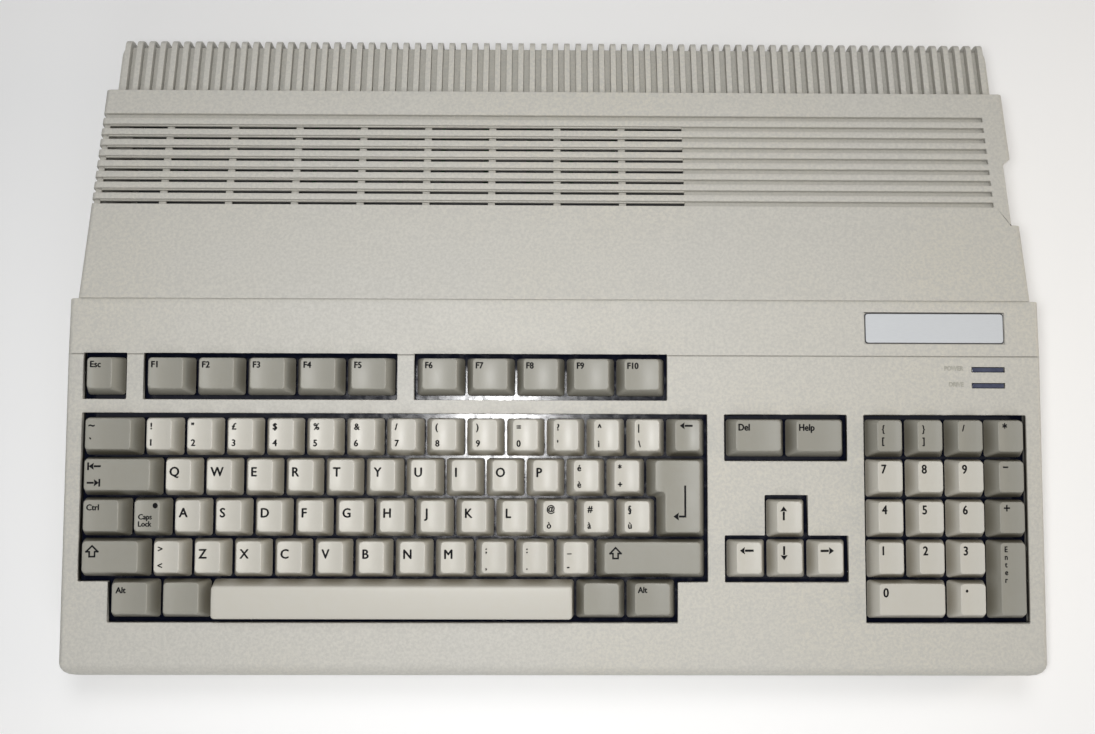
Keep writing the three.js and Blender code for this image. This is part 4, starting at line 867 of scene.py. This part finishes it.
def key_mesh(wide, deep, shape):
    """A keycap: drawn-in sides, a rounded upper edge, a hollowed top, an open underside and its stem."""
    bm = bmesh.new()
    corners = key_outline(wide, deep, shape)
    surface = key_surface(wide, deep, shape)
    edge = settings("keys").edge * (SPACE_ROUNDING if shape == "space" else 1)
    full = key_slopes(shape)
    foot = outline(corners, (0, 0, 0, 0), FOOT_RADIUS)
    crest = outline(corners, full, CREST_RADIUS)
    brow = outline(corners, tuple(v + edge for v in full), BROW_RADIUS)
    rings = [add_ring(bm, foot, 0.0)]
    low = [Vector((p.x, p.y, 0)) for p in foot]
    mid = [Vector((p.x, p.y, surface(p.x, p.y))) for p in crest]
    top = [Vector((p.x, p.y, surface(p.x, p.y))) for p in brow]
    start = [m + (f - m).normalized() * edge for f, m in zip(low, mid)]
    for share in (0.35, 0.7):
        rings.append([bm.verts.new(f.lerp(s, share)) for f, s in zip(low, start)])
    steps = 4
    for k in range(steps + 1):
        t = k / steps
        rings.append([
            bm.verts.new(s * (1 - t) ** 2 + m * 2 * t * (1 - t) + u * t * t)
            for s, m, u in zip(start, mid, top)
        ])
    for lower, upper in zip(rings, rings[1:]):
        bridge(bm, lower, upper)
    fill(bm, rings[-1], surface, TOP_NET)
    ceiling = KEY_HEIGHT - KEY_ROOF
    share = ceiling / KEY_HEIGHT
    rim = add_ring(bm, outline(corners, (KEY_WALL,) * 4, 0.5 * MM), 0.0)
    roof = add_ring(bm, outline(corners, tuple(KEY_WALL + v * share for v in full), 0.8 * MM), ceiling)
    bridge(bm, rings[0], rim, flip=True)
    bridge(bm, rim, roof, flip=True)
    fill(bm, roof, lambda x, y: ceiling, ROOF_NET)
    half = STEM / 2
    box_into(bm, (-half, -half, -STEM_REACH), (half, half, KEY_HEIGHT - 2.7 * MM), 0.3 * MM)
    return bm


def text_shapes(text, height, x, y):
    """Bold letters of a given height, x right of the top's left edge and with their foot y from its rear."""
    curve = bpy.data.curves.new("letters", "FONT")
    curve.body = text
    curve.size = height / 0.72
    curve.resolution_u = 3
    curve.extrude = 0.02 * MM
    obj = bpy.data.objects.new("letters", curve)
    bpy.context.scene.collection.objects.link(obj)
    bpy.context.view_layer.update()
    mesh = bpy.data.meshes.new_from_object(obj.evaluated_get(bpy.context.evaluated_depsgraph_get()))
    points = [v.co.copy() for v in mesh.vertices]
    faces = [tuple(f.vertices) for f in mesh.polygons]
    bpy.data.objects.remove(obj)
    bpy.data.curves.remove(curve)
    bpy.data.meshes.remove(mesh)
    if not points:
        raise RuntimeError(f"the font has no shape for {text!r}")
    left = min(p.x for p in points)
    bold = min(0.19 * MM, height * 0.055)
    count = len(points)
    copies = [(-bold, 0), (bold, 0), (0, bold * 0.7), (0, -bold * 0.7)]
    placed = [Vector(((p.x - left) * 0.9 + x + dx, p.y - y + dy, p.z + k * 0.002 * MM))
              for k, (dx, dy) in enumerate(copies) for p in points]
    return placed, [tuple(i + k * count for i in face) for k in range(len(copies)) for face in faces]


def word_shapes(text, *sizes):
    """text_shapes with its sizes given in millimetres."""
    return text_shapes(text, *(v * MM for v in sizes))


def prism(points):
    """A thin closed plate on a flat outline, as points and faces."""
    count = len(points)
    low = [Vector((x, y, -0.02 * MM)) for x, y in points]
    high = [Vector((x, y, 0.02 * MM)) for x, y in points]
    faces = [tuple(range(count))[::-1], tuple(range(count, 2 * count))]
    faces += [(i, (i + 1) % count, count + (i + 1) % count, count + i) for i in range(count)]
    return low + high, faces


def stroke(path, width):
    """Plates along a path of straight runs, given in millimetres."""
    shapes = []
    for a, b in zip(path, path[1:]):
        a, b = Vector(a) * MM, Vector(b) * MM
        d = (b - a).normalized() * width * MM / 2
        n = Vector((-d.y, d.x))
        length = (b - a).length
        parts = max(1, round(length / (2.5 * MM)))
        a, b = a - d, b + d
        for k in range(parts):
            p, q = a.lerp(b, k / parts), a.lerp(b, (k + 1) / parts)
            shapes.append(prism([p - n, q - n, q + n, p + n]))
    return shapes


def arrow(tip, tail, width=1.0, head=2.4):
    """A line with a solid arrow head, in millimetres."""
    tip, tail = Vector(tip), Vector(tail)
    d = (tip - tail).normalized()
    n = Vector((-d.y, d.x))
    neck = tip - d * head
    line = stroke([tail, neck - d * width / 2], width)
    barb = [neck - n * head * 0.72, tip, neck + n * head * 0.72, neck + d * head * 0.12]
    return line + [prism([p * MM for p in barb])]


def disc(x, y, radius):
    return prism([Vector((x + radius * math.cos(a), y + radius * math.sin(a))) * MM
                  for a in (math.tau * k / 18 for k in range(18))])


def shift_sign(x, y):
    """Outline of a broad arrow that points to the rear; x and y are its tip."""
    path = [(x, y), (x + 2.6, y - 2.7), (x + 1.2, y - 2.7), (x + 1.2, y - 5.0), (x - 1.2, y - 5.0),
            (x - 1.2, y - 2.7), (x - 2.6, y - 2.7), (x, y)]
    return stroke(path, 0.75)


def signs(name):
    """Drawn signs of the keys that have one, in millimetres from the top's left and rear edges."""
    if name == "key_backspace":
        return arrow((2.2, -2.8), (7.8, -2.8), 0.9, 2.3)
    if name == "key_tab":
        return (arrow((1.9, -3.4), (6.9, -3.4), 0.9, 2.3) + stroke([(1.7, -2.0), (1.7, -4.8)], 0.8)
                + arrow((6.7, -11.1), (1.7, -11.1), 0.9, 2.3) + stroke([(6.9, -9.7), (6.9, -12.5)], 0.8))
    if name == "key_return":
        return stroke([(9.4, -12.2), (9.4, -26.2)], 0.9) + arrow((3.8, -26.2), (9.4, -26.2), 0.9, 2.6)
    if name in ("key_left_shift", "key_right_shift"):
        return shift_sign(4.4, -2.2) if name == "key_left_shift" else shift_sign(5.2, -2.6)
    if name == "key_caps_lock":
        return [disc(9.4, -2.6, 1.3)]
    if name == "keypad_minus":
        return stroke([(2.3, -2.8), (4.3, -2.8)], 0.7)
    if name == "keypad_plus":
        return stroke([(2.3, -2.9), (4.7, -2.9)], 0.7) + stroke([(3.5, -1.7), (3.5, -4.1)], 0.7)
    if name == "keypad_star":
        turns = [math.radians(turn) for turn in (0, 60, 120)]
        lines = [[(3.3 + side * math.sin(t), -2.4 + side * math.cos(t)) for side in (-1, 1)] for t in turns]
        return [shape for line in lines for shape in stroke(line, 0.6)]
    arrows = {"cursor_up": ((3.2, -2.3), (3.2, -8.3)), "cursor_down": ((3.2, -8.3), (3.2, -2.3)),
              "cursor_left": ((1.5, -3.9), (7.5, -3.9)), "cursor_right": ((7.6, -3.9), (1.6, -3.9))}
    return arrow(*arrows[name]) if name in arrows else []


def print_on(bm, shapes, wide, deep, shape):
    """Lays flat shapes on a key's top, following its hollow."""
    surface = key_surface(wide, deep, shape)
    left, _, _, rear = key_slopes(shape)
    x0 = left - (wide * PITCH - KEY_GAP) / 2
    y0 = (deep * PITCH - KEY_GAP) / 2 - rear
    for points, faces in shapes:
        verts = []
        for p in points:
            x, y = p.x + x0, p.y + y0
            verts.append(bm.verts.new((x, y, surface(x, y) + p.z + 0.012 * MM)))
        for face in faces:
            made = bm.faces.new([verts[k] for k in face])
            made.material_index = 1


def build_key(name, left, front, wide, deep, shape, tone, shapes):
    bm = key_mesh(wide, deep, shape)
    bmesh.ops.recalc_face_normals(bm, faces=bm.faces)
    print_on(bm, shapes, wide, deep, shape)
    return mesh_object(name, bm, [tone + "_key", "key_ink"], key_place(left, front, wide, deep), SHARP)


def typing_shapes(label, keypad):
    """What is printed on a typing key: a letter or figure, or one sign above another."""
    if label == ".":
        return [disc(3.0, -3.4, 0.7)]
    if keypad:
        lines = [(label, 4.2, 1.8, 5.8)]
    elif len(label) == 1:
        lines = [(label, 4.4, 1.6, 7.9)]
    else:
        lines = [(label[0], 3.1, 1.7, 5.1), (label[1], 3.1, 1.7, 12.8)]
    return [word_shapes(*line) for line in lines]


class COMPUTER_OT_moving_keys(Operator):
    """Builds the keys that travel, each on its own body"""
    bl_idname = "computer.moving_keys"
    bl_label = "Moving keys"

    def execute(self, context):
        for name, left, front, wide, deep in MOVING_KEYS:
            shape = SHAPES.get(name, "plain")
            tone = "light" if name in LIGHT_KEYS else "dark"
            shapes = [word_shapes(*line) for line in WORDS.get(name, [])] + signs(name)
            obj = build_key(name + "_cap", left, front, wide, deep, shape, tone, shapes)
            settle(obj, name, tone + "_key_plastic", name)
        return {"FINISHED"}


def bored_plate(places):
    """The plate under the keys, with a square hole for each stem."""
    bm = bmesh.new()
    box_into(bm, (-PLATE_MARGIN, -PLATE_MARGIN, PLATE_TOP - PLATE_THICKNESS),
             (UNITS_WIDE * PITCH + PLATE_MARGIN, UNITS_DEEP * PITCH + PLATE_MARGIN, PLATE_TOP), 0.5 * MM)
    blank = bpy.data.meshes.new("blank_plate")
    bm.to_mesh(blank)
    bm.free()
    cut = carved(blank, [((x - BORE, y - BORE, PLATE_TOP - PLATE_THICKNESS - MM),
                          (x + BORE, y + BORE, PLATE_TOP + MM)) for x, y in places])
    bored = bmesh.new()
    bored.from_mesh(cut)
    bpy.data.meshes.remove(blank)
    bpy.data.meshes.remove(cut)
    return bored


def guide_into(bm, x, y):
    """A square tube on the plate, in which a stem runs."""
    outer = STEM / 2 + GUIDE_WALL
    foot, top = PLATE_TOP - GUIDE_ROOT, PLATE_TOP + GUIDE_HEIGHT
    profile = (outer, foot), (outer, top - GUIDE_EDGE), (outer - GUIDE_EDGE, top), (BORE, top), (BORE, foot)
    corners = (-1, -1), (1, -1), (1, 1), (-1, 1)
    rings = []
    for half, height in profile:
        rings.append([bm.verts.new((x + a * half, y + b * half, height)) for a, b in corners])
    for lower, upper in zip(rings, rings[1:] + rings[:1]):
        bridge(bm, lower, upper)


class COMPUTER_OT_typing_keys(Operator):
    """Builds the typing keys and the dark plate and guides that carry them"""
    bl_idname = "computer.typing_keys"
    bl_label = "Typing keys"

    def execute(self, context):
        places = [(left + wide / 2, front + deep / 2) for _, left, front, wide, deep in MOVING_KEYS]
        for row, (left, front, labels) in enumerate(TYPING_ROWS):
            for i, label in enumerate(labels):
                shapes = typing_shapes(label, left >= KEYPAD_LEFT)
                obj = build_key(f"typing_key_{row}_{i}", left + i, front, 1, 1, "plain", "light", shapes)
                settle(obj, ROOT, "light_key_plastic")
                places.append((left + i + 0.5, front + 0.5))
        places = [(x * PITCH, y * PITCH) for x, y in places]
        bm = bored_plate(places)
        for x, y in places:
            guide_into(bm, x, y)
        plate = mesh_object("key_guide_plate", bm, ["key_plate"], deck_place())
        settle(plate, ROOT, "light_key_plastic", "key_frame")
        return {"FINISHED"}


def deck_height(setback):
    """Height of the deck's surface at a distance from the case's front."""
    return LIP_HEIGHT + math.tan(DECK_TILT) * setback


def crease():
    """Distance of the crease along the case and its height."""
    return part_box("upper_housing")[0].y + CREASE_SETBACK, deck_height(CREASE_SETBACK)


def crease_cutters():
    """Boxes that cut a fine line across the top and down the sides at the crease."""
    low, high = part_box("upper_housing")
    y, z = crease()
    front = y - CREASE_LINE
    return [((low.x - MM, front, z - CREASE_LINE), (high.x + MM, y, z + 3 * MM)),
            ((low.x - MM, front, CREASE_FOOT), (low.x + CREASE_DEPTH, y, z)),
            ((high.x - CREASE_DEPTH, front, CREASE_FOOT), (high.x + MM, y, z))]


def shell_share():
    """Gives the part of the edge rounding that a place on the upper housing gets: more along the vents'
    ridges, less inside them, at the crease and in the recesses of the lamps and the name plate."""
    y, z = crease()
    low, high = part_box("upper_housing")
    lamp_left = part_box("power_lamp")[0].x - 2 * MM
    rear = high.y - REAR_END_DEPTH
    vents = rear - VENT_FRONT, rear - VENT_REAR

    def share(middle):
        if vents[0] < middle.y < vents[1] and middle.z > 35 * MM:
            surface = high.z - PLATEAU_FALL * (1 - (rear - middle.y) / PLATEAU_DEPTH)
            return 1.5 if middle.z > surface - 0.15 * MM else 0.3
        if abs(middle.y - y) < 0.6 * MM:
            return 0.15
        if middle.y < y and middle.z > 25 * MM:
            return 0.25 if middle.x > lamp_left and middle.y > y - 18 * MM else 1.0
        if y < middle.y < y + 27 * MM and middle.x > 140 * MM and middle.z < high.z - 0.3 * MM:
            return 0.2
        return 0.6

    return share


def vent_ledges():
    """Ledges along the rear sides of the slotted grooves, with a narrow opening left in front of each."""
    low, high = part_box("upper_housing")
    corner = Matrix.Translation((low.x + SLOTS_LEFT, high.y - REAR_END_DEPTH, high.z - PLATEAU_FALL))
    bm = bmesh.new()
    for k in range(SLOTTED_GROOVES):
        rear = GROOVE_WIDTH / 2 - FIRST_SLOTTED - k * GROOVE_PITCH + LEDGE_OVERLAP
        box_into(bm, (0, rear - LEDGE_WIDTH, LEDGE_BOTTOM), (SLOTS_LENGTH, rear, LEDGE_TOP), LEDGE_EDGE, 3)
    return mesh_object("vent_ledges", bm, ["case_plastic"],
                       corner @ Matrix.Rotation(-math.atan2(PLATEAU_FALL, PLATEAU_DEPTH), 4, "X"))


class COMPUTER_OT_case(Operator):
    """Rounds the two housings' edges, cuts the fine line at the crease and lays the vents' ledges"""
    bl_idname = "computer.case"
    bl_label = "Case"

    def execute(self, context):
        edge = settings("case").edge
        softened("upper_housing", "upper_housing_shell", "case_plastic", edge, "case_plastic",
                 share=shell_share(), cutters=crease_cutters())
        softened("lower_housing", "lower_housing_tray", "case_plastic", edge, "case_plastic",
                 share=lambda middle: TRAY_SHARE)
        settle(vent_ledges(), ROOT, "case_plastic")
        return {"FINISHED"}


class COMPUTER_OT_covers(Operator):
    """Builds the side cover, the bay door underneath, the foot pads and the screws"""
    bl_idname = "computer.covers"
    bl_label = "Covers and feet"

    def execute(self, context):
        edge = settings("case").edge
        softened("expansion_cover", "expansion_cover_plate", "case_plastic", edge, "case_plastic",
                 body="expansion_cover")
        softened("memory_trapdoor", "memory_bay_door", "case_plastic", edge, "case_plastic")
        low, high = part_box("lower_housing")
        pads = [(x, y, 0) for x in (low.x + FOOT_MARGIN, 0, high.x - FOOT_MARGIN)
                for y in (low.y + FOOT_MARGIN, high.y - FOOT_MARGIN)]
        screws = [(x, y, SCREW_HEIGHT)
                  for x in (low.x + FOOT_MARGIN * 2, -FOOT_MARGIN, high.x - FOOT_MARGIN * 2)
                  for y in (low.y + FOOT_MARGIN / 2, high.y - FOOT_MARGIN / 2 - TRAY_WALL)]
        turned_piece("foot_pads", FOOT_PAD, map(Matrix.Translation, pads), 32, "rubber", "black_plastic")
        turned_piece("case_screws", SCREW_HEAD, map(Matrix.Translation, screws), 20, "plated_steel",
                     "plated_steel")
        return {"FINISHED"}


class COMPUTER_OT_name_plate(Operator):
    """Builds the bare silver plate in its recess"""
    bl_idname = "computer.name_plate"
    bl_label = "Name plate"

    def execute(self, context):
        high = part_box("upper_housing")[1]
        place = (Matrix.Translation((high.x - NAME_INSET - NAME_LENGTH / 2, *crease()))
                 @ Matrix.Rotation(STRIP_TILT, 4, "X")
                 @ Matrix.Translation((0, NAME_SETBACK, -NAME_SUNK)))
        for name, inset, base, top, finish in (("name_plate_rim", 0.35, 0.0, 0.3, "plate_edge"),
                                               ("name_plate_face", 0.75, 0.1, 0.42, "name_plate")):
            bm = bmesh.new()
            corners = rectangle(NAME_LENGTH - 2 * inset * MM, NAME_WIDTH - 2 * inset * MM)
            side = outline(corners, (0,) * 4, 1.3 * MM)
            lower = add_ring(bm, side, base * MM)
            upper = add_ring(bm, side, top * MM - NAME_EDGE)
            brow = add_ring(bm, outline(corners, (NAME_EDGE,) * 4, 1.2 * MM), top * MM)
            bridge(bm, lower, upper)
            bridge(bm, upper, brow)
            bm.faces.new(brow)
            bm.faces.new(lower[::-1])
            settle(mesh_object(name, bm, [finish], place, 15), ROOT, "connector_shell")
        return {"FINISHED"}


class COMPUTER_OT_lamps(Operator):
    """Builds the two status lamps and the faint words beside them"""
    bl_idname = "computer.lamps"
    bl_label = "Status lamps"

    def execute(self, context):
        for node, word in (("power_lamp", "POWER"), ("drive_lamp", "DRIVE")):
            softened(node, node + "_lens", "lamp_lens", LAMP_EDGE, "lamp_lens", 3)
            low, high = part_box(node)
            bm = bmesh.new()
            points, faces = text_shapes(word, WORD_HEIGHT, 0, 0)
            width = max(p.x for p in points)
            y = (low.y + high.y) / 2
            height = deck_height(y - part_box("upper_housing")[0].y)
            place = (Matrix.Translation((low.x - WORD_GAP - width, y, height))
                     @ Matrix.Rotation(DECK_TILT, 4, "X"))
            verts = [bm.verts.new((p.x, p.y - WORD_HEIGHT / 2, p.z * 4)) for p in points]
            for face in faces:
                bm.faces.new([verts[k] for k in face])
            settle(mesh_object(node + "_word", bm, ["worn_print"], place), ROOT, "case_plastic")
        return {"FINISHED"}


class COMPUTER_OT_drive(Operator):
    """Builds the disk drive's case, its flap and its button"""
    bl_idname = "computer.drive"
    bl_label = "Disk drive"

    def execute(self, context):
        softened("disk_drive", "disk_drive_case", "drive_steel", DRIVE_EDGE, "drive_steel")
        softened("disk_door", "disk_flap", "door_plastic", FLAP_EDGE, "door_plastic", body="disk_door")
        softened("eject_button", "eject_push", "door_plastic", DRIVE_EDGE, "door_plastic", 3,
                 body="eject_button")
        return {"FINISHED"}


def pin_rows(count):
    """Places of the contacts of a D-shaped connector, the longer row above."""
    upper = (count + 1) // 2
    rows = (upper, CONTACT_GAP / 2), (count - upper, -CONTACT_GAP / 2)
    return [((i - (number - 1) / 2) * CONTACT_PITCH, height)
            for number, height in rows for i in range(number)]


def facing_back(x, y, z):
    """Matrix of a place whose own Z axis points to the rear."""
    return Matrix.Translation((x, y, z)) @ Matrix.Rotation(-math.pi / 2, 4, "X")


def d_socket(node, count, pinned):
    """A D-shaped connector with its contacts, the moulding that holds them and its two lock nuts."""
    softened(node, node + "_shell", "tin_shell", SHELL_EDGE, "connector_shell")
    low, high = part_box(node)
    x, z = (low.x + high.x) / 2, (low.z + high.z) / 2
    wide = (high.x - low.x) / 2
    depth = -PIN_DEPTH if pinned else 0.03 * MM
    places = [facing_back(x + dx, high.y + depth, z + dz) for dx, dz in pin_rows(count)]
    turned_piece(node + "_contacts", CONTACT_PIN if pinned else CONTACT_HOLE, places, 12 if pinned else 14,
                 "gold_contact", "connector_shell")
    bm = bmesh.new()
    if pinned:
        box_into(bm, (low.x + 9 * MM, high.y - 6.3 * MM, z - 3.1 * MM),
                 (high.x - 9 * MM, high.y - 5.6 * MM, z + 3.1 * MM), 0.2 * MM)
    else:
        half = wide - 8.2 * MM
        box_into(bm, (x - half, high.y - 1.5 * MM, z - 3.3 * MM),
                 (x + half, high.y + 0.02 * MM, z + 3.3 * MM), 0.3 * MM)
    settle(mesh_object(node + "_insulator", bm, ["insulator"]), ROOT, "black_plastic")
    locks = [facing_back(x + side * (wide - LOCK_INSET), high.y - LOCK_DEPTH, z) for side in (-1, 1)]
    turned_piece(node + "_locks", LOCK_NUT, locks, 6, "tin_shell", "connector_shell")


class COMPUTER_OT_sockets(Operator):
    """Builds the sockets along the rear wall with their contacts"""
    bl_idname = "computer.sockets"
    bl_label = "Sockets"

    def execute(self, context):
        for node, count in CONTACTS.items():
            d_socket(node, count, node in PINNED)
        for node, tones in JACKS.items():
            softened(node, node + "_shell", "tin_shell", JACK_EDGE, "connector_shell")
            low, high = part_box(node)
            for i, tone in enumerate(tones):
                x = (low.x + high.x) / 2 + (i - (len(tones) - 1) / 2) * JACK_PITCH
                place = facing_back(x, high.y, (low.z + high.z) / 2)
                turned_piece(f"{node}_ring_{i + 1}", JACK_RING, [place], 24, tone, "black_plastic")
        softened("power_socket", "power_socket_body", "insulator", POWER_EDGE, "black_plastic")
        low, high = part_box("power_socket")
        x, z = (low.x + high.x) / 2, high.z - POWER_BELOW
        places = [facing_back(x + dx * MM, high.y - POWER_DEPTH, z + dz * MM) for dx, dz in POWER_PINS]
        turned_piece("power_socket_pins", POWER_PIN, places, 14, "tin_shell", "connector_shell")
        return {"FINISHED"}


class COMPUTER_OT_inside(Operator):
    """Finishes the board, the shield and the sheet under the keys"""
    bl_idname = "computer.inside"
    bl_label = "Inner parts"

    def execute(self, context):
        softened("main_board", "main_board_assembly", "circuit_board", BOARD_EDGE, "circuit_board")
        softened("emi_shield", "board_shield", "dull_shield", SHEET_EDGE, "plated_steel")
        softened("keyboard_backplate", "keyboard_back_sheet", "plated_steel", SHEET_EDGE, "plated_steel")
        return {"FINISHED"}


def area_light(name, place, target, size, power, tone):
    data = bpy.data.lights.new(name, "AREA")
    data.shape = "SQUARE"
    data.size = size
    data.energy = power
    data.color = tone
    obj = bpy.data.objects.new(name, data)
    bpy.context.scene.collection.objects.link(obj)
    obj.location = place
    obj.rotation_mode = "QUATERNION"
    obj.rotation_quaternion = (Vector(target) - Vector(place)).to_track_quat("-Z", "Y")


def camera_turn():
    """The camera's turn as a matrix, from its azimuth, its angle below the horizon and its roll."""
    azimuth, elevation, roll = (math.radians(v) for v in (CAMERA_AZIMUTH, CAMERA_ELEVATION, CAMERA_ROLL))
    ahead = Vector((math.sin(azimuth) * math.cos(elevation), math.cos(azimuth) * math.cos(elevation),
                    -math.sin(elevation)))
    right = Vector((math.cos(azimuth), -math.sin(azimuth), 0))
    up = right.cross(ahead)
    across = right * math.cos(roll) + up * math.sin(roll)
    upright = up * math.cos(roll) - right * math.sin(roll)
    return Matrix((across, upright, -ahead)).transposed().to_4x4()


class COMPUTER_OT_studio(Operator):
    """Sets up the floor, the lights and the camera"""
    bl_idname = "computer.studio"
    bl_label = "Studio"

    def execute(self, context):
        look = settings("studio")
        bm = bmesh.new()
        bmesh.ops.create_grid(bm, x_segments=2, y_segments=2, size=4)
        floor = mesh_object("studio_floor", bm, ["studio_floor"])
        floor.location.z = FLOOR_HEIGHT
        world = bpy.data.worlds.new("studio")
        world.use_nodes = True
        background = world.node_tree.nodes["Background"].inputs
        background["Color"].default_value = (1, 1, 1, 1)
        background["Strength"].default_value = SURROUND
        context.scene.world = world
        context.scene.view_settings.view_transform = "Standard"
        for name, (place, target, size, share, tone) in LIGHTS.items():
            area_light(name, place, target, size, look.flash_power * share, tone)
        camera = bpy.data.objects.new("camera", bpy.data.cameras.new("camera"))
        context.scene.collection.objects.link(camera)
        camera.data.sensor_width = 36
        camera.data.lens = look.lens
        camera.data.clip_start = 0.01
        camera.matrix_world = Matrix.Translation(CAMERA_PLACE) @ camera_turn()
        context.scene.camera = camera
        return {"FINISHED"}


class COMPUTER_PT_panel(Panel):
    """Lists the steps in the sidebar"""
    bl_idname = "COMPUTER_PT_panel"
    bl_label = "Keyboard computer"
    bl_space_type = "VIEW_3D"
    bl_region_type = "UI"
    bl_category = "Computer"

    def draw(self, context):
        for name in SETTINGS:
            box = self.layout.box()
            group = settings(name)
            for key in group.__annotations__:
                box.prop(group, key)
        for step in OPERATORS:
            self.layout.operator(step.bl_idname)


OPERATORS = (
    COMPUTER_OT_studio, COMPUTER_OT_case, COMPUTER_OT_covers, COMPUTER_OT_name_plate,
    COMPUTER_OT_lamps, COMPUTER_OT_typing_keys, COMPUTER_OT_moving_keys, COMPUTER_OT_drive,
    COMPUTER_OT_sockets, COMPUTER_OT_inside,
)


def register():
    for group in SETTINGS.values():
        bpy.utils.register_class(group)
    for name, group in SETTINGS.items():
        setattr(bpy.types.Scene, "computer_" + name, PointerProperty(type=group))
    for item in (*OPERATORS, COMPUTER_PT_panel):
        bpy.utils.register_class(item)


def unregister():
    for item in reversed((*OPERATORS, COMPUTER_PT_panel)):
        bpy.utils.unregister_class(item)
    for name, group in SETTINGS.items():
        delattr(bpy.types.Scene, "computer_" + name)
        bpy.utils.unregister_class(group)


def main():
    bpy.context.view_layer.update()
    register()
    for step in OPERATORS:
        area, call = step.bl_idname.split(".")
        getattr(getattr(bpy.ops, area), call)()


if __name__ == "__main__":
    main()
